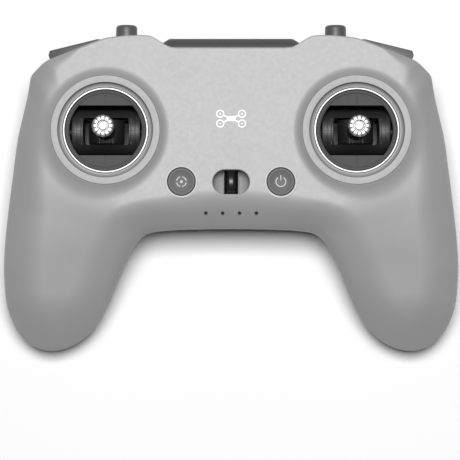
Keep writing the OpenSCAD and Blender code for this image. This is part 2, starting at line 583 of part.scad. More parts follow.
// A small screw with its head down
module board_screw(l) {
    translate([0, 0, -1.2]) cylinder(r = 1.7, h = 1.2);
    cylinder(r = 0.8, h = l);
}
module board_screws() color(steel) both_sides() {
    for (p = board_posts) translate([p[0], p[1], board_z]) board_screw(7);
    translate([led_post[0], led_post[1], led_board_z]) board_screw(5);
}
chips = [[-14, 22.5, 8, 8, 1.2], [-15, 32, 10, 6, 1], [14, 22, 7, 7, 1.1], [16, 34, 6, 9, 1.4], [0, 4, 7, 7, 1],
    [-6, -5, 3, 4, 1.3], [6, -5, 3, 4, 1.3]];
module board_chips() color(near_black) for (c = chips)
    translate([c[0], c[1], board_z + board_t + c[4] / 2]) cube([c[2], c[3], c[4]], center = true);
module board_shield() color(steel) translate([0, 30, board_z + board_t]) difference() {
    plate(18, 26, 2.6, 1.5);
    translate([0, 0, -1]) plate(17.4, 25.4, 3.2, 1.2);
}
module battery_pack() color([0.3, 0.35, 0.45]) translate([cover_c[0], cover_c[1] + 1.1, 1.7])
    plate(44, 27.6, 12, 2.5);
module vibration_motor() color(steel) translate([58, -22, 5.2]) cylinder(r = 5, h = 3.4);
module buzzer() color(near_black) translate([-58, -22, 5.2]) difference() {
    cylinder(r = 6, h = 4.5);
    translate([0, 0, 3]) cylinder(r = 1, h = 3);
}

front_shell();
rear_shell();
rear_cover();
antenna_cover();
grip_pad(-1);  // left_grip_pad
grip_pad(1);  // right_grip_pad
port_insert();
usb_receptacle();
lanyard_bar();
button_bezels();
led_light_guide();
led_board();
gimbal_bezel(-1);  // left_gimbal_bezel
gimbal_bezel(1);  // right_gimbal_bezel
trim_ring(-1);  // left_trim_ring
trim_ring(1);  // right_trim_ring
gimbal_cover(-1);  // left_gimbal_cover
gimbal_cover(1);  // right_gimbal_cover
gimbal_frame(-1);  // left_gimbal_frame
gimbal_frame(1);  // right_gimbal_frame
gimbal_bearings();
gimbal_sensor_boards();
centring_arms();
centring_springs();
gimbal_screws();
main_board();
board_chips();
board_shield();
battery_pack();
buzzer();
vibration_motor();
antenna_elements();
toggle_bezels();
toggle_switches();
shoulder_brackets();
shoulder_pins();
start_switch_bracket();
tact_switches();
dial_encoder();
board_screws();
case_screws();
barrel(-1);  // left_barrel
stick_hub(-1);  // left_stick_hub
stick_post(-1);  // left_stick_post
stick_collar(-1);  // left_stick_collar
stick_tip(-1);  // left_stick_tip
barrel(1);  // right_barrel
stick_hub(1);  // right_stick_hub
stick_post(1);  // right_stick_post
stick_collar(1);  // right_stick_collar
stick_tip(1);  // right_stick_tip
face_button(-1);  // function_button
face_button(1);  // power_button
toggle(-1);  // left_toggle
toggle(1);  // right_toggle
shoulder_button(-1);  // left_shoulder_button
shoulder_button(1);  // right_shoulder_button
tilt_dial();
start_button();
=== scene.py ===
import math

import bmesh
import bpy
import numpy as np
from mathutils import Matrix, Vector
from mathutils.bvhtree import BVHTree
from mathutils.interpolate import poly_3d_calc
from mathutils.kdtree import KDTree


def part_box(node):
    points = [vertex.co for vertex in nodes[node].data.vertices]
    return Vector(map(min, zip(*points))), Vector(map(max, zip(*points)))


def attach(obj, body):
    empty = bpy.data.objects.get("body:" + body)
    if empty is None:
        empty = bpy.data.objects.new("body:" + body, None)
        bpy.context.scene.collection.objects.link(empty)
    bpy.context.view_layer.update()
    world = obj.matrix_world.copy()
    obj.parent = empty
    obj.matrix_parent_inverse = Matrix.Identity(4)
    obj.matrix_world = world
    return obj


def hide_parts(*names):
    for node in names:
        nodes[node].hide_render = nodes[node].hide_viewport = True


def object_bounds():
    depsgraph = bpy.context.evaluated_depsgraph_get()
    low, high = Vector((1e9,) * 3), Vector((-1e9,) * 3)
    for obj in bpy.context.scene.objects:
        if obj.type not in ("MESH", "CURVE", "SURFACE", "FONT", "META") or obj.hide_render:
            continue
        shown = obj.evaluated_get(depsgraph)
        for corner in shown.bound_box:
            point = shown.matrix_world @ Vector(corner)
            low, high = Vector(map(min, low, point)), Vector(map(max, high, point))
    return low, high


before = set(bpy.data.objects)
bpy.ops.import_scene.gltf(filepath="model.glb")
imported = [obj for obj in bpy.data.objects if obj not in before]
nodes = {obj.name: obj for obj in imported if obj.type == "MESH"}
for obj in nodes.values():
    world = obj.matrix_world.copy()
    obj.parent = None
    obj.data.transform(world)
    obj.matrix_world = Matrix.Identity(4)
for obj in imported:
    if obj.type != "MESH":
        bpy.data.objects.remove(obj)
cad_box = [list(corner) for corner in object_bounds()]
scene = bpy.context.scene
MM = 0.001
MIRROR = Matrix.Scale(-1, 4, Vector((1, 0, 0)))

# ---- Sizes in millimetres, taken from the frame where it has them ----


def node_box(name):
    """Lowest and highest corner of a CAD node, in millimetres."""
    lo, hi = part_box(name)
    return Vector(lo) / MM, Vector(hi) / MM


def node_middle(name):
    lo, hi = node_box(name)
    return (lo + hi) / 2


HALF_W = node_box("front_shell")[1].x - 0.08    # leaves the rounded corners inside the CAD box
TIP_Y = cad_box[0][1] / MM                      # the handles' lower ends
GIMBAL = node_middle("right_gimbal_bezel")
BEZEL_LO, BEZEL_HI = node_box("right_gimbal_bezel")
BEZEL_R = (BEZEL_HI.x - BEZEL_LO.x) / 2 - 0.4
TRIM_LO, TRIM_HI = node_box("right_trim_ring")
COVER_LO, COVER_HI = node_box("right_gimbal_cover")
PIVOT = node_middle("right_barrel")
BARREL_R = node_box("right_barrel")[1].z - PIVOT.z
BUTTON = node_middle("power_button")
CAP_FOOT = node_box("power_button")[0].z
LIGHTS = node_middle("led_light_guide")
LUG = node_middle("lanyard_bar")
FACE_Z = 42.0                # the flat face between the gimbals
COLLAR_TOP = FACE_Z + 0.1
CAP_TOP = COLLAR_TOP - 0.04
CAP_DISH = 0.85              # how deep the round button caps are dished
SHELL_T = 2.2                # wall thickness of both shells
TOGGLE_X, TOGGLE_Y, TOGGLE_Z = 38.2, 44.5, 22    # the right toggle's pivot
SHOULDER_IN = Vector((45.4, 52.6))               # the sloping shoulder's inner and outer end
SHOULDER_OUT = Vector((66.5, 44.4))
SHOULDER_ANGLE = math.atan2(SHOULDER_OUT.y - SHOULDER_IN.y, SHOULDER_OUT.x - SHOULDER_IN.x)

# ---- Shell surface ----
# Each rib runs from the inner edge (the arch between the handles) to the outer edge. Its columns:
IN_X, IN_Y, OUT_X, OUT_Y, CROWN, KEEL, IN_SEAM, OUT_SEAM, WALL = range(9)
ARCH_Y = -15.1         # middle of the arch
NOTCH_Y = 49.8         # floor of the notch that holds the antenna bar
TOP_Y = 54.2           # far edge beside the notch
FLAT = (FACE_Z, 3, 28, 22)    # crown, keel and seams of the ribs between the gimbals
RIBS = np.array([
    [65.9, TIP_Y, 65.9, TIP_Y, 28.0, 2.0, 13.0, 13.0, 2],
    [60.2, -58.4, 71.3, -58.4, 28.2, 1.9, 13.2, 13.2, 2],
    [54.6, -55.4, 76.0, -55.1, 28.6, 1.7, 14.0, 13.7, 2],
    [50.0, -50.9, HALF_W - 3.3, -49.8, 29.6, 1.5, 15.2, 14.5, 2],
    [46.5, -45.4, HALF_W - 0.9, -43.0, 31.2, 1.5, 16.8, 15.6, 2],
    [43.2, -38.6, HALF_W - 0.1, -35.0, 33.2, 1.5, 18.6, 16.8, 2],
    [39.8, -30.5, HALF_W, -27.0, 35.4, 1.6, 20.6, 18.0, 2],
    [36.8, -24.4, HALF_W - 0.7, -17.5, 37.6, 2.0, 22.4, 19.2, 2],
    [34.2, -20.0, HALF_W - 1.9, -7.0, 39.4, 2.4, 24.0, 20.2, 2],
    [31.4, -17.3, HALF_W - 3.5, 5.0, 41.0, 2.8, 25.4, 21.0, 2],
    [28.2, -16.2, HALF_W - 5.3, 18.0, 41.8, 3.0, 26.4, 21.6, 2],
    [25.0, -15.8, HALF_W - 8.0, 30.0, FACE_Z, 3.0, 27.0, 22.0, 3],
    [21.8, -15.5, HALF_W - 10.3, 40.3, FACE_Z, 3.0, 27.5, 22.0, 12.0],
    [18.6, -15.4, 66.9, 45.1, FACE_Z, 3.0, 27.8, 22.0, 17.5],
    [15.2, -15.3, 55.4, 49.5, *FLAT, 18.5],
    [12.0, -15.2, 45.7, 53.2, *FLAT, 19.3],
    [9.5, -15.2, 37.6, TOP_Y, *FLAT, 19.5],
    [7.2, ARCH_Y, 29.1, TOP_Y, *FLAT, 19.5],
    [5.4, ARCH_Y, 22.0, NOTCH_Y, *FLAT, 19.5],
    [2.7, ARCH_Y, 11.0, NOTCH_Y, *FLAT, 19.5],
    [0, ARCH_Y, 0, NOTCH_Y, *FLAT, 19.5]])
LAST_RIB = len(RIBS) - 1
CORNER_RIB = 12        # ribs from here on meet straight edges
CORNER_BLUR = 0.2      # how far, in ribs, the corners between the straight edges are rounded
FIRST_U, INNER_U = 0.12, 0.5    # where the outer skin and the hollow inside start, in ribs
TIP_L = 21                      # length over which a handle's end is rounded
# How far in from the edge the surface bends down to it, and the powers of those bends
ARCH_BEND, GRIP_BEND, SIDE_BEND, TOP_BEND = 14, 15.5, 15.5, 1.2
ARCH_POWER, SIDE_POWER, FACE_SIDE_POWER = 2, 2, 2.8
LOW_WALL, GRIP_WALL = 2, 5      # upright wall above the seam, and what the handles' sides add to it
EDGE_R, GRIP_EDGE_R, TOP_EDGE_R, EDGE_POWER = 2, 5, 0.8, 3
REAR_BEND, REAR_SIDE_BEND, REAR_POWER = 9, 15, 3
BOSS_W, BOSS_GRIP_W, BOSS_Z, BOSS_POWER = 3.9, 7, 44.2, 2.5


def clamp01(t):
    return np.clip(t, 0, 1)


def fade(value, start, length):
    """0 up to start, then in a straight line to 1 over the given length."""
    return clamp01((value - start) / length)


def mix(a, b, t):
    return a + (b - a) * t


def half_rib(u):
    """The rib at each place u, from the right handle's end (0) to the middle (LAST_RIB)."""
    first = RIBS[1][[OUT_X, OUT_Y, IN_X, IN_Y, CROWN, KEEL, IN_SEAM, OUT_SEAM, WALL]]
    table = np.vstack([first, RIBS, RIBS[-1:]])
    i = np.minimum(np.floor(u).astype(int), LAST_RIB - 1)
    t = (u - i)[:, None]
    a, b, c = table[i], table[i + 1], table[i + 2]
    d = table[np.where(i < CORNER_RIB, np.minimum(i + 3, CORNER_RIB + 1), i + 3)]
    curve = 0.5 * (2 * b + (c - a) * t + (2 * a - 5 * b + 4 * c - d) * t ** 2
                   + (3 * b - a - 3 * c + d) * t ** 3)
    return np.where((i >= CORNER_RIB)[:, None], mix(b, c, t), curve)


def rib_once(u):
    """The rib at u, mirrored past the middle for the left half."""
    past = u > LAST_RIB
    rib = half_rib(np.where(past, 2 * LAST_RIB - u, u))
    rib[:, [IN_X, OUT_X]] *= np.where(past, -1, 1)[:, None]
    return rib


def rib_at(u):
    """The rib at u, with the corners of the straight edges rounded a little."""
    blur = CORNER_BLUR * clamp01(np.minimum(u, 2 * LAST_RIB - u) - CORNER_RIB + 1)
    return 0.5 * rib_once(u) + 0.25 * rib_once(u - blur) + 0.25 * rib_once(u + blur)


def bulge(t, n):
    """Rises upright from 0 and levels out at 1, like a quarter of an oval."""
    return (1 - (1 - clamp01(t)) ** n) ** (1 / n)


def bend(t, n):
    """Rises in a slope from 0 and levels out at 1."""
    return 1 - (1 - clamp01(t)) ** n


def from_tip(rib):
    """How far the rib's middle is from the handle's end."""
    return (rib[:, [IN_Y]] + rib[:, [OUT_Y]]) / 2 - TIP_Y


def rounded_tip(rib, inset):
    return bend((from_tip(rib) - inset) / TIP_L, 2)


def rib_len(rib):
    return np.hypot(rib[:, [OUT_X]] - rib[:, [IN_X]], rib[:, [OUT_Y]] - rib[:, [IN_Y]])


def place(rib, s, inset):
    """X and Y at the share s of the ribs, each shortened by inset at both ends."""
    q = mix(inset / rib_len(rib), 1 - inset / rib_len(rib), s)
    return (mix(rib[:, [IN_X]], rib[:, [OUT_X]], q), mix(rib[:, [IN_Y]], rib[:, [OUT_Y]], q))


def boss(x, y, z):
    """Raises the surface to the bezels' foot in a concave fillet, wider towards the handle."""
    dx, dy = np.abs(x) - GIMBAL.x, y - GIMBAL.y
    d = np.hypot(dx, dy)
    to_grip = clamp01((dx * 0.5 - dy * 0.87) / np.maximum(d, 1)) ** 2    # 60 degrees below X
    rise = (1 - fade(d, BEZEL_R, mix(BOSS_W, BOSS_GRIP_W, to_grip))) ** BOSS_POWER
    return np.maximum(z, z + (BOSS_Z - z) * rise)


def front_skin(rib, s, inset):
    """The crowned front surface: a wall above the seam, a rounded lip, then a bend to the crown."""
    crown, wide_wall = rib[:, [CROWN]], rib[:, [WALL]]
    length = rib_len(rib) - 2 * inset
    da, db = s * length, (1 - s) * length
    seam = mix(rib[:, [IN_SEAM]], rib[:, [OUT_SEAM]], s)
    off = fade(np.abs(rib[:, [IN_X]]), 9, 26)
    arch = 1 - off ** 2 * (3 - 2 * off)
    side = fade(from_tip(rib), 6, 22) * (1 - arch)
    grip = side * (1 - fade(crown, 39, 5))
    top = fade(wide_wall, 3, 12)
    wall = mix(LOW_WALL + GRIP_WALL * grip, np.maximum(wide_wall, LOW_WALL + GRIP_WALL * side), s)
    edge_r = mix(EDGE_R, GRIP_EDGE_R, grip)
    lip = bulge(np.minimum(da / edge_r, db / mix(edge_r, TOP_EDGE_R, top)), EDGE_POWER)
    rise = np.maximum(0.1, crown - inset - seam - wall)
    reach_a = np.minimum(mix(GRIP_BEND, ARCH_BEND, arch), length / 2)
    reach_b = np.minimum(mix(SIDE_BEND, TOP_BEND, fade(wide_wall, 8, 10.5) ** 5), length / 2)
    shape = bend(da / reach_a, mix(SIDE_POWER, ARCH_POWER, arch))
    shape = shape * bend(db / reach_b, mix(SIDE_POWER, FACE_SIDE_POWER, fade(crown, 39.5, 2)))
    z = seam + wall * lip * (0.9 if inset else 1) + rise * shape * rounded_tip(rib, inset)
    x, y = place(rib, s, inset)
    return x, y, (z if inset else boss(x, y, z))


def rear_skin(rib, s, inset):
    """The rear surface, which bends down from the seam to the keel."""
    length = rib_len(rib) - 2 * inset
    da, db = s * length, (1 - s) * length
    seam = mix(rib[:, [IN_SEAM]], rib[:, [OUT_SEAM]], s)
    reach_a = mix(length / 2, REAR_BEND, fade(rib[:, [IN_Y]], -40, 24))
    reach_b = mix(length / 2, REAR_SIDE_BEND, fade(rib[:, [OUT_Y]], -30, 40))
    shape = bulge(da / np.minimum(reach_a, length / 2), REAR_POWER)
    shape = shape * bulge(db / np.minimum(reach_b, length / 2), REAR_POWER)
    z = seam - (seam - rib[:, [KEEL]] - inset) * shape * rounded_tip(rib, inset) ** 0.5
    x, y = place(rib, s, inset)
    return x, y, z


def stations(start, per_rib):
    """Places along the ribs from one handle's end to the other's."""
    u = np.arange(0, 2 * LAST_RIB * per_rib + 1) / per_rib
    u = u[(u > start) & (u < 2 * LAST_RIB - start)]
    return np.concatenate([[start], u, [2 * LAST_RIB - start]])


def shares(n):
    """Places along a rib, closer together towards its ends."""
    return 0.5 * (1 - np.cos(np.pi * np.arange(n + 1) / n))[None, :]


# ---- Mesh helpers ----


def smooth_by_angle(obj, degrees):
    """Smooth shading across edges up to the given angle."""
    obj.data.shade_smooth()
    obj.data.set_sharp_from_angle(angle=math.radians(degrees))


def fix_normals(obj, weld=False):
    bm = bmesh.new()
    bm.from_mesh(obj.data)
    if weld:
        bmesh.ops.remove_doubles(bm, verts=bm.verts, dist=1e-7)
    bmesh.ops.recalc_face_normals(bm, faces=bm.faces)
    bm.to_mesh(obj.data)
    bm.free()


def linked(data):
    """A new object in the scene for a mesh, light or camera."""
    obj = bpy.data.objects.new(data.name, data)
    scene.collection.objects.link(obj)
    return obj


def loops_solid(loops, ring=False, smooth=35):
    """A solid on closed loops of points in mm, all of one length, with flat ends or as a ring."""
    loops = np.asarray(loops, dtype=float)
    n, m = loops.shape[:2]
    i, j = np.meshgrid(np.arange(n if ring else n - 1), np.arange(m), indexing="ij")
    i2, j2 = (i + 1) % n, (j + 1) % m
    quads = np.stack([i * m + j, i2 * m + j, i2 * m + j2, i * m + j2], axis=-1)
    quads = quads.reshape(-1, 4).tolist()
    if not ring:
        quads.append(list(range(m)))
        quads.append([(n - 1) * m + k for k in reversed(range(m))])
    mesh = bpy.data.meshes.new("solid")
    mesh.from_pydata((loops.reshape(-1, 3) * MM).tolist(), [], quads)
    mesh.validate()
    obj = linked(mesh)
    fix_normals(obj)
    smooth_by_angle(obj, smooth)
    return obj


def fillet(points, radius, steps=5, closed=True):
    """Rounds the corners of an outline. radius is one number or one per corner."""
    pts = [Vector(p) for p in points]
    radii = radius if isinstance(radius, (list, tuple)) else [radius] * len(pts)
    out = []
    for k, p in enumerate(pts):
        if not closed and k in (0, len(pts) - 1):
            out.append(p)
            continue
        a = pts[k - 1] - p
        b = pts[(k + 1) % len(pts)] - p
        half = a.angle(b) / 2
        reach = min(radii[k] / math.tan(half), a.length * 0.49, b.length * 0.49)
        if reach < 1e-4 or half > math.radians(89):
            out.append(p)
            continue
        start, end = p + a.normalized() * reach, p + b.normalized() * reach
        for t in (i / steps for i in range(steps + 1)):
            out.append(start.lerp(p, t).lerp(p.lerp(end, t), t))
    return [tuple(v) for v in out]


def lathe(profile, segments=160, smooth=35, centre=(0, 0)):
    """Turns a closed (radius, z) profile about a vertical axis."""
    profile = np.array(profile)
    angle = 2 * np.pi * np.arange(segments) / segments
    x = centre[0] + np.outer(np.cos(angle), profile[:, 0])
    y = centre[1] + np.outer(np.sin(angle), profile[:, 0])
    z = np.tile(profile[:, 1], (segments, 1))
    obj = loops_solid(np.stack([x, y, z], axis=-1), ring=True)
    fix_normals(obj, weld=True)
    smooth_by_angle(obj, smooth)
    return obj


def prism(outline, low, high, axis="z"):
    """A straight solid along an axis, on an outline in the other two."""
    outline = np.array(outline)
    loops = [np.column_stack([outline, np.full(len(outline), end)]) for end in (low, high)]
    order = {"x": [2, 0, 1], "y": [0, 2, 1], "z": [0, 1, 2]}[axis]
    return loops_solid([loop[:, order] for loop in loops])


def arc(radius, start, end, steps=24, centre=(0, 0)):
    """Points along an arc, with its angles in degrees."""
    turns = [math.radians(mix(start, end, k / steps)) for k in range(steps + 1)]
    return [(centre[0] + radius * math.cos(t), centre[1] + radius * math.sin(t)) for t in turns]


def circle(radius, count=24, centre=(0, 0)):
    return arc(radius, 0, 360 - 360 / count, count - 1, centre)


def stadium(w, d, centre=(0, 0)):
    """A slot's outline along X, w long and d wide."""
    x = (w - d) / 2
    right = arc(d / 2, -90, 90, centre=(centre[0] + x, centre[1]))
    return right + arc(d / 2, 90, 270, centre=(centre[0] - x, centre[1]))


def tube_cutter(radius, centre, low, high):
    return prism(circle(radius, 96, centre), low, high)


def rectangle(w, d, r=0.0, centre=(0, 0), steps=6):
    x, y = w / 2, d / 2
    corners = [(-x, -y), (x, -y), (x, y), (-x, y)]
    return [(centre[0] + a, centre[1] + b) for a, b in fillet(corners, r, steps)]


def turned(obj, matrix):
    """Moves an object's vertices by a matrix in millimetres."""
    shift = matrix.copy()
    shift.translation = matrix.translation * MM
    obj.data.transform(shift)
    if matrix.to_3x3().determinant() < 0:
        obj.data.flip_normals()
    return obj


def bake_modifiers(obj):
    view = bpy.context.evaluated_depsgraph_get()
    view.update()
    mesh = bpy.data.meshes.new_from_object(obj.evaluated_get(view))
    old = obj.data
    obj.modifiers.clear()
    obj.data = mesh
    bpy.data.meshes.remove(old)


def combine(obj, others, operation="DIFFERENCE", smooth=35):
    for other in others:
        mod = obj.modifiers.new("combine", "BOOLEAN")
        mod.operation = operation
        mod.solver = "MANIFOLD"
        mod.object = other
    bake_modifiers(obj)
    for other in others:
        bpy.data.objects.remove(other)
    smooth_by_angle(obj, smooth)
    return obj


def soften(obj, width, angle=32, segments=2):
    """Rounds the sharp edges of a piece with a bevel modifier."""
    mod = obj.modifiers.new("soft_edges", "BEVEL")
    mod.width = width * MM
    mod.segments = segments
    mod.limit_method = "ANGLE"
    mod.angle_limit = math.radians(angle)
    mod.harden_normals = True
    return obj


def joined(objects):
    """One object from several, kept as separate shells of one mesh."""
    bm = bmesh.new()
    for obj in objects:
        bm.from_mesh(obj.data)
    mesh = bpy.data.meshes.new("joined")
    bm.to_mesh(mesh)
    bm.free()
    for obj in objects:
        bpy.data.objects.remove(obj)
    return linked(mesh)


def at_shoulder():
    """Frame of the sloping shoulder: x along the slope, y outwards."""
    shift = Matrix.Translation((SHOULDER_IN.x, SHOULDER_IN.y, 0))
    return shift @ Matrix.Rotation(SHOULDER_ANGLE, 4, "Z")


def hand(side):
    return "left" if side < 0 else "right"


# ---- Materials ----


class Nodes:
    """Short names for building one material's nodes."""

    def __init__(self, name):
        self.mat = bpy.data.materials.new(name)
        self.mat.use_nodes = True
        self.tree = self.mat.node_tree
        self.shader = self.tree.nodes["Principled BSDF"]
        coords = self.tree.nodes.new("ShaderNodeTexCoord")
        self.coords = coords.outputs["Object"]

    def add(self, kind, **inputs):
        node = self.tree.nodes.new(kind)
        for key, value in inputs.items():
            socket = node.inputs[key.replace("_", " ")]
            if isinstance(value, bpy.types.NodeSocket):
                self.tree.links.new(value, socket)
            else:
                socket.default_value = value
        return node

    def noise(self, scale, detail=3.0, rough=0.5, stretch=None):
        place = self.coords
        if stretch:
            place = self.add("ShaderNodeMapping", Vector=place, Scale=stretch).outputs[0]
        return self.add("ShaderNodeTexNoise", Vector=place, Scale=scale, Detail=detail,
                        Roughness=rough).outputs["Fac"]

    def ramp(self, fac, stops):
        """Blends between two stops, each a position and a colour."""
        node = self.add("ShaderNodeValToRGB", Fac=fac)
        for element, (position, color) in zip(node.color_ramp.elements, stops):
            element.position = position
            element.color = (*color, 1)
        return node.outputs["Color"]

    def level(self, fac, low, high):
        return self.add("ShaderNodeMapRange", Value=fac, To_Min=low, To_Max=high).outputs[0]

    def link(self, output, name):
        self.tree.links.new(output, self.shader.inputs[name])

    def base(self, fac, color, low, high):
        """Base colour that wanders between two shares of a colour."""
        stops = [(0.3, scaled(color, low)), (0.7, scaled(color, high))]
        self.link(self.ramp(fac, stops), "Base Color")

    def fix(self, name, value):
        self.shader.inputs[name].default_value = value

    def bump(self, height, distance, normal=None):
        """Bumps by a height of 0 to 1 times a distance in millimetres."""
        node = self.add("ShaderNodeBump", Height=height, Strength=1.0, Distance=distance * MM)
        if normal is not None:
            self.tree.links.new(normal, node.inputs["Normal"])
        return node.outputs["Normal"]


def grey(value, blue=0.0):
    return (value, value, value + blue)


def scaled(color, factor):
    return tuple(c * factor for c in color)


def moulded(name, color, rough, grain, depth, mottle=0.03, specular=0.5, wear=0.06):
    """Moulded plastic: a fine eroded grain in mm, faint flow mottling and lighter worn edges."""
    n = Nodes(name)
    flow = n.noise(45, 4, 0.55)
    base = n.ramp(flow, [(0.3, scaled(color, 1 - mottle)), (0.7, scaled(color, 1 + mottle))])
    edge = n.add("ShaderNodeNewGeometry").outputs["Pointiness"]
    worn = n.ramp(edge, [(0.53, grey(0)), (0.6, grey(wear))])
    tint = n.add("ShaderNodeMix")
    tint.data_type = "RGBA"
    tint.blend_type = "ADD"
    tint.inputs["Factor"].default_value = 1.0
    n.tree.links.new(base, tint.inputs["A"])
    n.tree.links.new(worn, tint.inputs["B"])
    n.link(tint.outputs["Result"], "Base Color")
    fine = n.noise(1000 / grain, 2, 0.6)
    n.link(n.level(n.noise(700, 3, 0.6), rough - 0.05, rough + 0.05), "Roughness")
    n.link(n.bump(fine, depth), "Normal")
    n.fix("Specular IOR Level", specular)
    return n.mat


def rubber(name, color, cell=1.1, depth=0.12):
    """Soft moulded rubber with a fine pattern of raised pips."""
    n = Nodes(name)
    n.base(n.noise(60, 4, 0.6), color, 0.85, 1.15)
    pips = n.add("ShaderNodeTexVoronoi", Vector=n.coords, Scale=1000 / cell, Randomness=0.0)
    height = n.ramp(pips.outputs["Distance"], [(0.25, grey(1)), (0.5, grey(0))])
    n.link(n.bump(n.noise(5000, 2, 0.6), 0.01, n.bump(height, depth)), "Normal")
    n.link(n.level(n.noise(300, 3), 0.62, 0.78), "Roughness")
    n.fix("Specular IOR Level", 0.35)
    return n.mat


def metal(name, color, rough, brush=(1, 1, 30), depth=0.004, spread=0.08):
    """Turned or ground metal with fine directional lines."""
    n = Nodes(name)
    lines = n.noise(900, 3, 0.6, stretch=brush)
    n.base(lines, color, 0.93, 1.04)
    n.link(n.level(lines, rough - spread, rough + spread), "Roughness")
    n.link(n.bump(lines, depth), "Normal")
    n.fix("Metallic", 1.0)
    return n.mat


def circuit(name, color):
    """Solder mask over copper tracks, with tinned pads."""
    n = Nodes(name)
    tracks = n.add("ShaderNodeTexBrick", Vector=n.coords, Scale=260.0, Mortar_Size=0.04,
                   Color1=(*color, 1), Color2=(*scaled(color, 0.75), 1),
                   Mortar=(*scaled(color, 1.7), 1))
    n.link(tracks.outputs["Color"], "Base Color")
    n.link(n.bump(tracks.outputs["Fac"], 0.03), "Normal")
    n.link(n.level(n.noise(200, 3), 0.28, 0.42), "Roughness")
    return n.mat


def glossy(name, color, rough):
    n = Nodes(name)
    n.base(n.noise(120, 3), color, 0.9, 1.1)
    n.link(n.level(n.noise(500, 3), rough - 0.03, rough + 0.05), "Roughness")
    n.link(n.bump(n.noise(2500, 2), 0.002), "Normal")
    n.fix("Specular IOR Level", 0.3)
    return n.mat


def frosted(name, color):
    n = Nodes(name)
    n.base(n.noise(400, 3), color, 0.93, 1)
    n.link(n.level(n.noise(900, 2), 0.3, 0.45), "Roughness")
    n.link(n.bump(n.noise(4000, 2), 0.004), "Normal")
    n.fix("Subsurface Weight", 0.15)
    n.fix("Subsurface Radius", (0.001, 0.001, 0.001))
    return n.mat


SHELL = moulded("shell_plastic", grey(0.272), 0.49, 0.16, 0.01, specular=0.6, wear=0)
BEZEL = moulded("bezel_plastic", grey(0.232), 0.48, 0.14, 0.005, specular=0.55, wear=0)
COLLAR = moulded("collar_plastic", grey(0.31), 0.46, 0.14, 0.005, specular=0.55, wear=0)
REAR_COVER = moulded("rear_cover_plastic", grey(0.22, 0.005), 0.52, 0.3, 0.02)
ANTENNA = moulded("antenna_plastic", grey(0.055, 0.002), 0.5, 0.14, 0.004, specular=0.35, wear=0)
GIMBAL_DISC = moulded("gimbal_disc_plastic", grey(0.042, 0.001), 0.62, 0.12, 0.006, specular=0.22,
                      wear=0.01)
GIMBAL_BLACK = moulded("gimbal_black_plastic", grey(0.014, 0.0005), 0.5, 0.1, 0.003, wear=0.01)
HUB_BLACK = moulded("hub_black_plastic", grey(0.01, 0.0005), 0.55, 0.1, 0.003, wear=0)
TOGGLE = moulded("toggle_plastic", grey(0.075, 0.001), 0.45, 0.12, 0.004, specular=0.42, wear=0)
BUTTON_CAP = moulded("button_plastic", grey(0.105, 0.002), 0.55, 0.1, 0.003, specular=0.3, wear=0)
CHIP = moulded("chip_resin", grey(0.03, 0.002), 0.55, 0.2, 0.01)
ACETAL = moulded("acetal_plastic", (0.70, 0.69, 0.66), 0.4, 0.3, 0.003)
BATTERY = moulded("battery_wrap", (0.10, 0.13, 0.18), 0.33, 1.2, 0.02, mottle=0.08)
GRIP = rubber("grip_rubber", grey(0.045, 0.002))
PORT_RUBBER = rubber("port_rubber", grey(0.035, 0.001), cell=0.5, depth=0.01)
STEEL = metal("ground_steel", (0.58, 0.59, 0.61), 0.3)
CHROME = metal("polished_trim", grey(0.2, 0.003), 0.42, depth=0.0006, spread=0.02)
STICK_METAL = metal("stick_aluminium", grey(0.35, 0.004), 0.5, brush=(1, 1, 12), depth=0.002)
BOARD = circuit("solder_mask", (0.01, 0.10, 0.045))
LUG_BLACK = glossy("lanyard_gloss", grey(0.011, 0.001), 0.3)
LIGHT_PIPE = glossy("light_pipe", (0.008, 0.0085, 0.009), 0.6)
PRINT = frosted("white_print", grey(0.62))
SYMBOL = frosted("symbol_inlay", grey(0.22))


def finish_piece(obj, name, body, slot, material, *replaces):
    """Names a piece, gives it a material, puts it on its body and hides what it stands for."""
    obj.name = name
    obj.data.name = name
    obj.data.materials.clear()
    obj.data.materials.append(material)
    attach(obj, body)
    if replaces:
        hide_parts(*replaces)


# ---- Housing ----
SEAM_BEVEL = 0.18
# The right half's posts: x, y, and the height of the foot of the front shell's post
SCREWS = [(28, 46, 24), (70, 12, 23.5), (62, -36, 20.5), (27.5, -7, 26)]
BOARD_POSTS = [(20, 16, 16.8), (20, 43.5, 16.8), (12.2, 6, 29.6)]
GIMBAL_POSTS = [(GIMBAL.x + 17.4 * i, GIMBAL.y + 15 * j, 32.8) for i in (-1, 1) for j in (-1, 1)]
SCOOP_R, SCOOP_Z = 8, 32.8            # the lanyard recess's floor
RECESS_W, RECESS_D = 13.1, 8.7        # the lanyard recess
PORT_Z = 13.5
DIAL_AT, DIAL_Z = 9.9, 9.5            # the dial and the start button: along the shoulder, and up
BUTTON_HOLE_R, LIGHT_R = 5.85, 0.65
COVER_W, COVER_D, COVER_AT = 56, 34, (0, 25)


def shell_loops(skin, start, per_rib, across, inset, far_z):
    """Loops of one shell's skin, closed by the flat seam, or carried past it by far_z."""
    rib = rib_at(stations(start, per_rib))
    x, y, z = (np.array(a) for a in np.broadcast_arrays(*skin(rib, shares(across), inset)))
    loops = np.stack([x, y, z], axis=-1)
    ends = []
    for side, seam in ((0, IN_SEAM), (-1, OUT_SEAM)):
        px, py = place(rib, np.array([[-side]]), inset if far_z else SEAM_BEVEL)
        ends.append(np.stack([px, py, rib[:, [seam]] + far_z], axis=-1))
        if not far_z:
            loops[:, side, 2] += SEAM_BEVEL * (1 if skin is front_skin else -1)
    return np.concatenate([ends[0], loops, ends[1]], axis=1)


def values(items, key, kind=np.float32):
    """One property of every mesh item, flat: single whole numbers, or vectors of three."""
    out = np.empty(len(items) * (1 if kind is np.int32 else 3), dtype=kind)
    items.foreach_get(key, out)
    return out


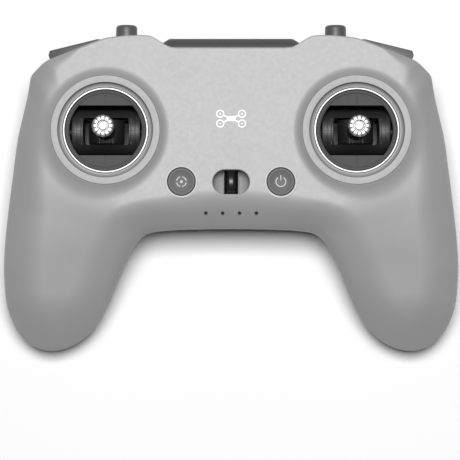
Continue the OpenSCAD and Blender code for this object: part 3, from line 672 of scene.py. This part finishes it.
def keep_normals(obj, source):
    """Gives the cut skin the whole one's smooth normals, so that no hole creases the shading."""
    mesh, whole = obj.data, source.data
    surface = BVHTree.FromPolygons([v.co for v in whole.vertices],
                                   [p.vertices for p in whole.polygons])
    smooth = [v.vector.copy() for v in whole.vertex_normals]
    points = KDTree(len(whole.vertices))
    for k, v in enumerate(whole.vertices):
        points.insert(v.co, k)
    points.balance()
    wanted = np.zeros((len(mesh.vertices), 3))
    for k, v in enumerate(mesh.vertices):
        _, index, gap = points.find(v.co)
        if gap < 0.001 * MM:
            wanted[k] = smooth[index]
        elif gap < 2 * MM:
            near, _, index, gap = surface.find_nearest(v.co)
            if gap < 0.01 * MM:
                corners = whole.polygons[index].vertices
                weights = poly_3d_calc([whole.vertices[c].co for c in corners], near)
                blend = sum((smooth[c] * w for c, w in zip(corners, weights)), Vector())
                wanted[k] = blend.normalized()
    wanted = wanted[values(mesh.loops, "vertex_index", np.int32)]
    normals = values(mesh.corner_normals, "vector").reshape(-1, 3)
    sides = np.repeat(values(mesh.polygons, "normal").reshape(-1, 3),
                      values(mesh.polygons, "loop_total", np.int32), axis=0)
    close = (wanted * sides).sum(axis=1) > 0.85
    normals[close] = wanted[close]
    mesh.normals_split_custom_set(normals.tolist())


def shared_cuts():
    """The openings that both shells share a side of."""
    cuts = [prism(stadium(50, 12.2, (0, PORT_Z)), ARCH_Y - 4, ARCH_Y + 6, "y"),
            prism(rectangle(50.6, 9.05, 0, (0, NOTCH_Y + 4.475)), 9.9, 33.1)]
    for side in (-1, 1):
        toggle = rectangle(13, 19, 2, (side * TOGGLE_X, TOGGLE_Z))
        cuts.append(prism(toggle, 49.1, 60, "y"))
        shoulder = prism(rectangle(21, 18.7, 0.8, (11.1, 23)), -6, 6, "y")
        cuts.append(turned(shoulder, at_shoulder()))
        if side < 0:
            turned(shoulder, MIRROR)
    return cuts


def recess_outline(extra):
    return stadium(RECESS_W + extra, RECESS_D + extra, (0, LUG.y))


def lanyard_recess():
    """A slot-shaped well with a rounded lip and a scooped floor."""
    top, flare = FACE_Z + 0.02, 0.5
    levels = [(20, 0), (top - flare, 0)]
    levels += [(top - flare * (1 - math.sin(t)), flare * (1 - math.cos(t)))
               for t in (math.pi / 12 * k for k in range(1, 7))]
    levels.append((top + 6, levels[-1][1]))
    well = loops_solid([[(x, y, z) for x, y in recess_outline(2 * out)] for z, out in levels])
    scoop = [(-SCOOP_R, 60)] + arc(SCOOP_R, 180, 360, 64, (0, SCOOP_Z + SCOOP_R)) + [(SCOOP_R, 60)]
    return combine(well, [prism(scoop, -20, 20, "y")], "INTERSECT")


def cut_shell(skin, far_z, posts, cuts):
    """Takes the hollow, less its posts, and the openings out of a shell's solid skin."""
    inside = loops_solid(shell_loops(skin, INNER_U, 3, 26, SHELL_T, far_z))
    combine(inside, posts)
    combine(inside, cuts, "UNION")
    loops = shell_loops(skin, FIRST_U, 12, 150, 0, 0)
    whole, shell = loops_solid(loops, smooth=40), loops_solid(loops, smooth=40)
    combine(shell, [inside], smooth=40)
    keep_normals(shell, whole)
    bpy.data.objects.remove(whole)
    return shell


def front_shell():
    groups = ((2.8, SCREWS), (1.9, BOARD_POSTS), (2.4, GIMBAL_POSTS))
    posts = [tube_cutter(r, (side * x, y), z, z + 26)
             for side in (-1, 1) for r, group in groups for x, y, z in group]
    posts.append(prism(recess_outline(3.4), SCOOP_Z - 1.5, 46))
    cuts = shared_cuts() + [lanyard_recess()]
    for side in (-1, 1):
        cuts.append(tube_cutter(BEZEL_R + 0.05, (side * GIMBAL.x, GIMBAL.y), 30, 60))
        cuts.append(tube_cutter(BUTTON_HOLE_R, (side * BUTTON.x, BUTTON.y), 30, 60))
        cuts += [tube_cutter(0.9, (side * x, y), z - 5, z + 12) for x, y, z in SCREWS]
    cuts += [tube_cutter(LIGHT_R, (k * 6.05, LIGHTS.y), 25, 60) for k in (-1.5, -0.5, 0.5, 1.5)]
    shell = cut_shell(front_skin, -2, posts, cuts)
    finish_piece(shell, "housing_front", "root", "shell", SHELL, "front_shell")


def rear_shell():
    posts = [tube_cutter(3.4, (side * x, y), 1, z - 0.2) for side in (-1, 1) for x, y, z in SCREWS]
    cuts = shared_cuts()
    cuts.append(prism(rectangle(COVER_W + 0.4, COVER_D + 0.4, 5, COVER_AT), -1, 7))
    for side in (-1, 1):
        for x, y, _ in SCREWS:
            cuts.append(tube_cutter(1.35, (side * x, y), -1, 40))
            cuts.append(tube_cutter(2.5, (side * x, y), -2, 5.5))
    dial = prism(rectangle(15.4, 14, 0, (DIAL_AT, -1)), DIAL_Z - 2.9, DIAL_Z + 2.9)
    cuts.append(turned(turned(dial, at_shoulder()), MIRROR))
    start = prism(circle(4.3, 96, (DIAL_AT, DIAL_Z)), -8, 8, "y")
    cuts.append(turned(start, at_shoulder()))
    shell = cut_shell(rear_skin, 2, posts, cuts)
    finish_piece(shell, "housing_rear", "root", "shell", SHELL, "rear_shell")


def grip_pad(side):
    """A raised rubber pad that follows the back of a handle."""
    u = np.linspace(2.5, 8, 90)
    rib = rib_at(u)
    j = np.linspace(4, 14, 61)
    s = (0.5 * (1 - np.cos(np.pi * j / 18)))[None, :]
    x, y, z = (np.array(a) for a in np.broadcast_arrays(*rear_skin(rib, s, 0)))
    along, over = np.sin(np.pi * (u - 2.5) / 5.5)[:, None], np.sin(np.pi * (j - 4) / 10)[None, :]
    swell = np.clip(np.minimum(along, over), 0, 1) ** 0.35
    outer = np.stack([x, y, z - 0.25 - 0.95 * swell], axis=-1)
    inner = np.stack([x, y, z + 0.3], axis=-1)[:, ::-1]
    pad = loops_solid(np.concatenate([outer, inner], axis=1), smooth=50)
    if side < 0:
        turned(pad, MIRROR)
    name = hand(side) + "_grip"
    finish_piece(pad, name + "_rubber", "root", "grip", GRIP, name + "_pad")


def rear_cover():
    """The battery cover, with a grip of short grooves, an arrow, and hooks inside."""
    w, d, (mid_x, mid_y) = COVER_W, COVER_D, COVER_AT
    levels = [(0, 0.7), (0.07, 0.42), (0.21, 0.21), (0.42, 0.07), (0.7, 0), (5.2, 0)]
    cover = loops_solid([
        [(x, y, z) for x, y in rectangle(w - 2 * e, d - 2 * e, 5 - e, COVER_AT, 10)]
        for z, e in levels])
    cuts = [prism(rectangle(w - 3.6, d - 3.6, 3.2, COVER_AT), 1.6, 9)]
    for k in range(-2, 3):
        groove = stadium(15 - 1.6 * abs(k), 0.9, (mid_x, mid_y + 9 + 1.9 * k))
        cuts.append(prism(groove, -1, 0.5))
    arrow = fillet([(-2.2, 1.6), (2.2, 1.6), (0, 4.2)], 0.3)
    cuts.append(prism([(x, y + mid_y + 13 - 1.6) for x, y in arrow], -1, 0.3))
    combine(cover, cuts)
    top = node_box("rear_cover")[1].z
    spots = [(sx, mid_y + y) for sx in (-1, 1) for y in (-9, 9)]
    hooks = [prism(rectangle(2, 6, 0.2, (sx * (w / 2 - 0.4), y)), 5.4, top) for sx, y in spots]
    hooks += [prism(rectangle(1, 6, 0.2, (sx * (w / 2 - 0.9), y)), 4.4, 5.6) for sx, y in spots]
    finish_piece(joined([cover] + hooks), "battery_cover", "root", "rear_cover",
                 REAR_COVER, "rear_cover")


def antenna_bar():
    """The bar behind the notch: flat beside the shell, then rounded down to its back edge."""
    lo, hi = node_box("antenna_cover")
    levels = [(lo.z, 0.7), (lo.z + 0.2, 0.2), (lo.z + 0.7, 0), (28.6, 0), (30.2, 0.3),
              (31.3, 0.9), (32.1, 1.7), (32.6, 2.5), (32.9, 3.2), (hi.z, 3.6)]
    loops = []
    for z, e in levels:
        x, back = hi.x + 1.2 - 0.5 * e, hi.y + 0.7 - e
        side = NOTCH_Y + max(0.2, 1.6 - 0.4 * e)
        outline = fillet([(-x, NOTCH_Y - 0.6), (x, NOTCH_Y - 0.6), (x, side), (x - 4, back),
                          (4 - x, back), (-x, side)], [0.05, 0.05, 0.6, 2.5, 2.5, 0.6], 8)
        loops.append([(px, py, z) for px, py in outline])
    bar = loops_solid(loops, smooth=50)
    pocket = prism(rectangle(42, 3, 0.2, (0, NOTCH_Y + 0.5)), 12.5, 30.5)
    combine(bar, [pocket], smooth=50)
    finish_piece(bar, "antenna_bar", "root", "antenna", ANTENNA, "antenna_cover")


# ---- Face ----


def quad_mark():
    """A small printed drone seen from above, which marks the face."""
    c, arm = Vector((0, 23.7)), Vector((3.9, 1.75))
    foot, top = FACE_Z - 0.2, FACE_Z + 0.03
    outlines = [rectangle(3.2, 1.8, 0.8, c)]
    out = []
    for sx in (-1, 1):
        for sy in (-1, 1):
            reach = Vector((sx * arm.x, sy * arm.y))
            hub = tuple(c + reach)
            tube = [(1.05, foot), (1.45, foot), (1.45, top), (1.05, top)]
            out.append(lathe(tube, 64, centre=hub))
            out.append(prism(circle(0.32, centre=hub), foot, top))
            way = reach.normalized()
            side = Vector((-way.y, way.x)) * 0.24
            a, b = c + way * 1.3, c + way * (arm.length - 1.2)
            outlines.append([tuple(v) for v in (a + side, b + side, b - side, a - side)])
    out += [prism(outline, foot, top - 0.002 - 0.001 * k) for k, outline in enumerate(outlines)]
    finish_piece(joined(out), "drone_mark", "root", "button", PRINT)


def button_collars():
    top, foot = COLLAR_TOP, 38.6
    profile = fillet([(5.1, foot), (6.9, foot), (6.9, top - 2.2), (6.15, top - 1.0),
                      (BUTTON_HOLE_R, top), (5.1, top)], [0.05, 0.05, 0.2, 0.8, 0.1, 0.14], 6)
    collars = [lathe(profile, centre=(side * BUTTON.x, BUTTON.y)) for side in (-1, 1)]
    finish_piece(joined(collars), "button_collars", "root", "bezel", COLLAR, "button_bezels")


def face_cap(name, side):
    """A round button cap with a rolled edge and a dished top."""
    top, rim = CAP_TOP, 4.2
    profile = [(0, CAP_FOOT), (1.5, CAP_FOOT), (1.5, top - 3.4), (4.9, top - 3.4),
               (4.92, top - 0.42), (4.86, top - 0.24), (4.7, top - 0.1), (4.45, top - 0.06),
               (rim, top - 0.1)]
    profile += [(r, top - 0.1 - CAP_DISH * (1 - (r / rim) ** 2))
                for r in (3.9, 3.5, 3, 2.4, 1.8, 1.2, 0.5, 0)]
    cap = lathe(profile, 128, centre=(side * BUTTON.x, BUTTON.y))
    finish_piece(cap, name + "_cap", name, "button", BUTTON_CAP, name)


def ring_sector(radius, stroke, start, end):
    half = stroke / 2
    return arc(radius + half, start, end, 40) + arc(radius - half, end, start, 40)


def face_symbols():
    """The power sign on the right cap and a plain ring and dot on the left one."""
    foot, top = CAP_TOP - 1.5, CAP_TOP - 0.7
    power = [prism(ring_sector(1.75, 0.36, 125, 415), foot, top),
             prism(rectangle(0.36, 1.9, 0.1, (0, 1.35)), foot, top + 0.06)]
    plain = [prism(circle(0.5), foot, top - 0.18)]
    plain += [prism(ring_sector(1.75, 0.36, a + 12, a + 78), foot, top) for a in (0, 90, 180, 270)]
    for side, name, group in ((1, "power", power), (-1, "function", plain)):
        sign = joined(group)
        turned(sign, Matrix.Translation((side * BUTTON.x, BUTTON.y, 0)))
        finish_piece(sign, name + "_sign", name + "_button", "bezel", SYMBOL)


def lanyard_bar():
    """A cambered glossy bar between two posts, over a dark channel."""
    bar = []
    for y in np.linspace(-3.6, 3.6, 25):
        drop = 1.1 * (y / 3.6) ** 2 - 0.25
        bar.append([(x, LUG.y + y, 40.6 + 0.98 * z - drop * (z > 0)) for x, z in stadium(3, 2)])
    pieces = [loops_solid(bar, smooth=60)]
    low = SCOOP_Z - 0.6
    channel = [(-2.7, low), (2.7, low), (2.7, 35.6), (2.55, 35.6), (0.6, low + 0.4),
               (-0.6, low + 0.4), (-2.55, 35.6), (-2.7, 35.6)]
    pieces.append(prism(channel, LUG.y - 4.3, LUG.y + 4.3, "y"))
    for s in (-1, 1):
        a, b = sorted((LUG.y + s * 3.4, LUG.y + s * 4.33))
        post = prism([(a, SCOOP_Z), (b, SCOOP_Z), (b, 41.35), (a, 40.7)], -1.6, 1.6, "x")
        pieces.append(soften(post, 0.12))
        bake_modifiers(post)
    finish_piece(joined(pieces), "lanyard_loop", "root", "lanyard", LUG_BLACK, "lanyard_bar")


# ---- Gimbals ----
WINDOW_R, WINDOW_Y = 13.1, 9.0    # the window in the gimbal's cover: a circle with two flats
POST_R, THREAD_R = 1.6, 1.42


def gimbal_rings(side):
    """The raised ring with its hollow inner slope, and the bright trim ring inside it."""
    name, centre = hand(side), (side * GIMBAL.x, GIMBAL.y)
    lo, top = BEZEL_LO.z, BEZEL_HI.z
    shelf = [(15.35, lo), (15.35, 41.75), (15.42, 41.92), (15.6, 42.0)]
    shelf += [(17.0 - 1.4 * (1 - math.sin(t)), 42.0 + 1.35 * (1 - math.cos(t)))
              for t in (math.pi / 2 * k / 12 for k in range(1, 12))]
    rim = fillet([(17.0, 43.3), (17.02, top - 0.05), (BEZEL_R, top), (BEZEL_R, lo)],
                 [0, 0.2, 0.28, 0], 6, False)
    ring = lathe(shelf + rim, 224, 30, centre)
    finish_piece(ring, name + "_gimbal_ring", "root", "bezel", BEZEL, name + "_gimbal_bezel")
    lo, hi = TRIM_LO.z, TRIM_HI.z
    trim = fillet([(14.62, lo), (15.3, lo), (15.3, hi), (14.62, hi)], [0, 0, 0.16, 0.16], 5)
    trim = lathe(trim, 224, 60, centre)
    finish_piece(trim, name + "_chrome_ring", "root", "trim", CHROME, name + "_trim_ring")


def gimbal_disc(side):
    """The dark cover: a rim round two shallow fields, a wide window and fine crosshair lines."""
    lo, top, r = COVER_LO.z, COVER_HI.z, BEZEL_R - 0.1
    profile = [(0, lo), (r, lo), (r, lo + 1.3), (14.55, lo + 1.3), (14.55, top - 0.3),
               (14.45, top - 0.08), (14.25, top), (13.5, top - 0.04), (13.34, top - 0.12),
               (13.3, top - 0.4), (13.12, top - 0.4), (13.08, top - 0.2), (12.8, top - 0.22),
               (0, top - 0.25)]
    disc = lathe(profile, 224, 30)
    half = math.degrees(math.asin(WINDOW_Y / WINDOW_R))
    window = [point for turn in (0, 180)
              for point in arc(WINDOW_R - 0.02, turn - half, turn + half, 40)]
    cuts = [prism(window, 30, 50)]
    for sy in (-1, 1):
        cuts.append(prism(rectangle(0.34, 3.4, 0, (0, sy * 10.9)), top - 0.75, 50))
        cuts.append(prism(circle(0.42, centre=(0, sy * 12.1)), top - 0.6, 50))
    combine(disc, cuts, smooth=30)
    turned(disc, Matrix.Translation((side * GIMBAL.x, GIMBAL.y, 0)))
    soften(disc, 0.12, 40)
    name = hand(side) + "_gimbal"
    finish_piece(disc, name + "_disc", "root", "gimbal_cover", GIMBAL_DISC, name + "_cover")


def at_pivot(side):
    return Matrix.Translation((side * PIVOT.x, PIVOT.y, PIVOT.z))


def stick_barrel(side):
    """The drum that rocks about X, with a bowed slot for the stick, side grooves and its axle."""
    name, r = hand(side) + "_barrel", BARREL_R
    half = [(0, 16.6), (2.2, 16.6), (2.5, 16.3), (2.5, 12.4), (r - 0.5, 12.4), (r - 0.15, 12.25),
            (r, 11.9), (r, 10.62), (r - 0.22, 10.58), (r - 0.22, 10.42), (r, 10.38)]
    profile = half + [(a, -b) for a, b in reversed(half)]
    barrel = lathe(profile, smooth=30)
    turned(barrel, Matrix.Rotation(math.pi / 2, 4, "Y"))
    bow = 0.45
    slot = []
    for s in (1, -1):
        for k in range(13):
            t = 2 * k / 12 - 1
            slot.append((s * (8.15 + bow * (1 - t * t) - bow / 2), s * 4.85 * t))
    cuts = [prism(fillet(slot, 0.4, 3), -30, 30)]
    for s in (-1, 1):
        cuts.append(prism(rectangle(3.7, 0.3, 0, (s * 10.3, 0)), r - 0.4, 20))
        cuts.append(prism(rectangle(0.2, 9.4, 0, (s * 8.95, 0)), r - 1.9, 20))
    pin = prism(circle(1.28, 48), -7.5, 7.5, "y")
    combine(barrel, cuts + [pin], smooth=30)
    turned(barrel, at_pivot(side))
    soften(barrel, 0.14, 35)
    finish_piece(barrel, name + "_drum", name, "gimbal_black", GIMBAL_BLACK, name)


def stick_hub(side):
    """The inner drum on its cross pin, with grip ribs and a foot for the post."""
    name = hand(side)
    half = [(0, 7), (1.05, 7), (1.25, 6.8), (1.25, 4.4), (5.9, 4.4), (6.25, 4.28), (6.4, 4.0)]
    drum = lathe(half + [(a, -b) for a, b in reversed(half)], 128, 30)
    turned(drum, Matrix.Rotation(math.pi / 2, 4, "X"))
    foot = [(0, 4), (3.3, 4), (3.3, 6.5), (2.6, 7.3), (2.2, 8.2), (1.95, 8.3), (0, 8.3)]
    combine(drum, [lathe(foot, 64)], "UNION")
    cuts = [prism(rectangle(0.45, 2.0, 0.15, (x, -3.3)), 5.2, 20)
            for x in (-2.4, -1.2, 0, 1.2, 2.4)]
    cuts.append(tube_cutter(POST_R + 0.02, (0, 0), 3, 20))
    combine(drum, cuts, smooth=30)
    turned(drum, at_pivot(side))
    soften(drum, 0.1, 35)
    finish_piece(drum, name + "_hub_drum", name + "_stick", "gimbal_black", HUB_BLACK,
                 name + "_stick_hub")


def stick_post(side):
    """The steel post, threaded from just above the hub's window to its top."""
    name = hand(side)
    lo, hi = node_box(name + "_stick_post")
    profile = [(0, lo.z), (POST_R - 0.15, lo.z), (POST_R, lo.z + 0.15), (POST_R, 43.0),
               (THREAD_R, 43.3)]
    z = 43.4
    while z < hi.z - 0.6:
        profile += [(THREAD_R, z), (POST_R, z + 0.2), (POST_R, z + 0.26), (THREAD_R, z + 0.46)]
        z += 0.5
    profile += [(THREAD_R, hi.z - 0.3), (1.2, hi.z), (0, hi.z)]
    post = lathe(profile, 64, 30, (side * GIMBAL.x, GIMBAL.y))
    finish_piece(post, name + "_post_rod", name + "_stick", "steel", STEEL, name + "_stick_post")


def toothed(profile, depth, teeth, per_tooth, power, centre):
    """A turned shape whose (radius, z, share) points sink between teeth round its edge."""
    count = teeth * per_tooth
    loops = []
    for k in range(count):
        turn = 2 * math.pi * k / count
        valley = 1 - abs(math.cos(turn * teeth / 2)) ** power
        loops.append([(centre[0] + (r - depth[0] * share * valley) * math.cos(turn),
                       centre[1] + (r - depth[0] * share * valley) * math.sin(turn),
                       z - depth[1] * share * valley) for r, z, share in profile])
    return loops_solid(loops, ring=True, smooth=40)


def stick_top(side):
    """The knurled collar and the crown with its twelve petals round a small round end."""
    name, centre = hand(side), (side * GIMBAL.x, GIMBAL.y)
    lo, hi = (corner.z for corner in node_box(name + "_stick_collar"))
    profile = [(1.62, lo, 0), (2.35, lo, 0), (2.7, lo + 0.35, 1), (2.7, lo + 1.7, 1),
               (2.45, lo + 1.8, 0), (2.45, lo + 2.0, 0), (2.7, lo + 2.1, 1), (2.7, hi - 0.35, 1),
               (2.35, hi, 0), (1.62, hi, 0)]
    collar = toothed(profile, (0.16, 0), 24, 10, 0.6, centre)
    finish_piece(collar, name + "_knurled_collar", name + "_stick", "stick", STICK_METAL,
                 name + "_stick_collar")
    lo, top = (corner.z for corner in node_box(name + "_stick_tip"))
    crown = [(1.65, lo, 0), (2.4, lo, 0), (2.7, lo + 0.3, 0), (2.7, lo + 3.3, 0.1),
             (2.8, lo + 3.9, 0.3), (3.2, lo + 5, 0.6), (3.5, lo + 6.2, 0.8), (3.75, lo + 7.4, 1),
             (3.88, lo + 8.2, 1), (3.9, lo + 8.7, 1), (3.88, top - 0.7, 1), (3.8, top - 0.4, 1),
             (3.65, top - 0.2, 1), (3.4, top - 0.09, 0.95), (2.9, top - 0.03, 0.8),
             (2.35, top, 0.6), (2.05, top - 0.02, 0.3), (1.93, top - 0.1, 0),
             (1.88, top - 0.3, 0), (1.86, top - 1.2, 0), (1.65, top - 1.2, 0)]
    petals = toothed(crown, (0.42, 0.3), 12, 24, 0.16, centre)
    end = [(0, lo + 8.6), (1.84, lo + 8.6), (1.84, top - 1.1), (1.62, top - 1.1),
           (POST_R, top - 0.25), (1.5, top - 0.12), (1.2, top - 0.04), (0, top)]
    crown = joined([petals, lathe(end, 72, centre=centre)])
    finish_piece(crown, name + "_crown_tip", name + "_tip", "stick", STICK_METAL,
                 name + "_stick_tip")


# ---- Edge controls ----


def toggle_bat(side):
    """The bat with its rounded head, on a neck from the pivot inside."""
    name = hand(side) + "_toggle"
    end, foot, r = node_box(name)[1].y, NOTCH_Y, 3.85
    head = [(0, foot), (3, foot), (3.5, foot + 0.35), (r, foot + 1.2), (r, end - 1.15),
            (r - 0.1, end - 0.65), (r - 0.38, end - 0.28), (r - 0.8, end - 0.06),
            (r - 1.3, end), (0, end)]
    neck = [(0, TOGGLE_Y), (2.4, TOGGLE_Y), (2.4, foot + 0.6), (0, foot + 0.6)]
    pieces = [lathe(head, 96, 60), lathe(neck, 64)]
    for piece in pieces:
        turned(piece, Matrix.Rotation(-math.pi / 2, 4, "X"))
    hub = lathe(fillet([(1.03, -4), (2.8, -4), (2.8, 4), (1.03, 4)], 0.25, 4), 64)
    turned(hub, Matrix.Translation((0, TOGGLE_Y, 0)) @ Matrix.Rotation(math.pi / 2, 4, "Y"))
    whole = joined(pieces + [hub])
    turned(whole, Matrix.Translation((side * TOGGLE_X, 0, TOGGLE_Z)))
    finish_piece(whole, name + "_bat", name, "toggle", TOGGLE, name)


def shoulder_key(side):
    """The shoulder button's key, with the lug it turns on and the web between them."""
    name = hand(side) + "_shoulder_button"
    lo, hi = 14, 32
    low, high = lo + 3.2, lo + 14.8
    outline = fillet([(1, -2.6), (20.9, -2.6), (21.2, -1.9), (21.2, 2.7), (20.2, 4.2),
                      (2.6, 1.9), (1, 1.2)], [0.3, 0.3, 0.3, 0.9, 0.9, 1.5, 0.4], 6)
    key = soften(prism(outline, lo, hi), 0.45, 50, 3)
    bake_modifiers(key)
    smooth_by_angle(key, 40)
    lug = fillet([(1.03, low), (1.9, low), (1.9, high), (1.03, high)], 0.15, 3)
    lug = lathe(lug, 48, centre=(4.2, -4.6))
    web = soften(prism(rectangle(2.4, 1.9, 0.2, (4.2, -3.0)), low, high), 0.15)
    bake_modifiers(web)
    whole = turned(joined([key, lug, web]), at_shoulder())
    if side < 0:
        turned(whole, MIRROR)
    finish_piece(whole, name + "_key", name, "toggle", TOGGLE, name)


def start_cap():
    profile = [(0, 0.55), (2.9, 0.62), (3.5, 0.78), (3.9, 1.05), (4.15, 1.45), (4.2, 1.8),
               (4.2, 4.4), (1.5, 4.4), (1.5, 6.2), (0, 6.2)]
    cap = lathe(profile, 96, 40)
    shift = Matrix.Translation((DIAL_AT, 0, DIAL_Z))
    turned(cap, at_shoulder() @ shift @ Matrix.Rotation(math.pi / 2, 4, "X"))
    finish_piece(cap, "start_cap", "start_button", "button", BUTTON_CAP, "start_button")


# ---- CAD pieces that keep their shape ----
# By material, with the width of each piece's softened edges
KEPT = (
    (PORT_RUBBER, {"port_insert": 0.25}),
    (LIGHT_PIPE, {"led_light_guide": 0.1}),
    (HUB_BLACK, {"left_gimbal_frame": 0.25, "right_gimbal_frame": 0.25}),
    (GIMBAL_BLACK, {"toggle_bezels": 0.4, "toggle_switches": 0.2}),
    (ACETAL, {"centring_arms": 0.2}),
    (BATTERY, {"battery_pack": 0.6}),
    (TOGGLE, {"tilt_dial": 0.15}),
    (CHIP, {"board_chips": 0.1, "buzzer": 0.2, "tact_switches": 0.12, "dial_encoder": 0.15}),
    (BOARD, {"led_board": 0.08, "gimbal_sensor_boards": 0.08, "main_board": 0.08,
             "antenna_elements": 0.08}),
    (STEEL, {"usb_receptacle": 0.08, "gimbal_bearings": 0.12, "centring_springs": 0,
             "gimbal_screws": 0.12, "board_shield": 0.12, "vibration_motor": 0.2,
             "shoulder_brackets": 0.15, "shoulder_pins": 0.15, "start_switch_bracket": 0.15,
             "board_screws": 0.1, "case_screws": 0.12}))


def dress_kept():
    for material, edges in KEPT:
        for name, edge in edges.items():
            nodes[name].data.materials.clear()
            nodes[name].data.materials.append(material)
            if edge:
                soften(nodes[name], edge)


for make in (front_shell, rear_shell, rear_cover, antenna_bar, quad_mark, button_collars,
             face_symbols, lanyard_bar):
    make()
face_cap("power_button", 1)
face_cap("function_button", -1)
start_cap()
for side in (-1, 1):
    for make in (grip_pad, gimbal_rings, gimbal_disc, stick_barrel, stick_hub, stick_post,
                 stick_top, toggle_bat, shoulder_key):
        make(side)
dress_kept()

# ---- Stage ----


def stage_floor():
    white = Nodes("studio_white")
    white.fix("Base Color", (*grey(0.76), 1))
    white.fix("Roughness", 0.9)
    mesh = bpy.data.meshes.new("studio_floor")
    mesh.from_pydata([(-3, -3, 0), (3, -3, 0), (3, 3, 0), (-3, 3, 0)], [], [(0, 1, 2, 3)])
    mesh.materials.append(white.mat)
    linked(mesh)


def area_light(name, place_at, size, power):
    """A soft rectangular light that shines on the object."""
    light = bpy.data.lights.new(name, "AREA")
    light.shape = "RECTANGLE"
    light.size, light.size_y = size
    light.energy = power
    lamp = linked(light)
    lamp.location = place_at
    lamp.rotation_euler = (-Vector(place_at)).to_track_quat("-Z", "Y").to_euler()


# Metres and watts: one strong light from above, and very little from elsewhere
stage_floor()
area_light("key", (0, 0.2, 1.52), (0.6, 0.5), 31)
area_light("fill", (0, -0.9, 0.9), (1.2, 0.6), 0.04)
world = bpy.data.worlds.new("studio")
world.use_nodes = True
backdrop = world.node_tree.nodes["Background"]
backdrop.inputs["Color"].default_value = (1, 1, 1, 1)
backdrop.inputs["Strength"].default_value = 0.04
scene.world = world
scene.view_settings.view_transform = "Standard"

camera = linked(bpy.data.cameras.new("camera"))
camera.data.lens = 210
camera.data.sensor_width = 36
camera.data.clip_start, camera.data.clip_end = 0.01, 20
camera.location = (-0.0004, -0.056, 1.0)
aim = Vector((-0.0004, -0.0152, 0.018))
camera.rotation_euler = (aim - camera.location).to_track_quat("-Z", "Y").to_euler()
scene.camera = camera
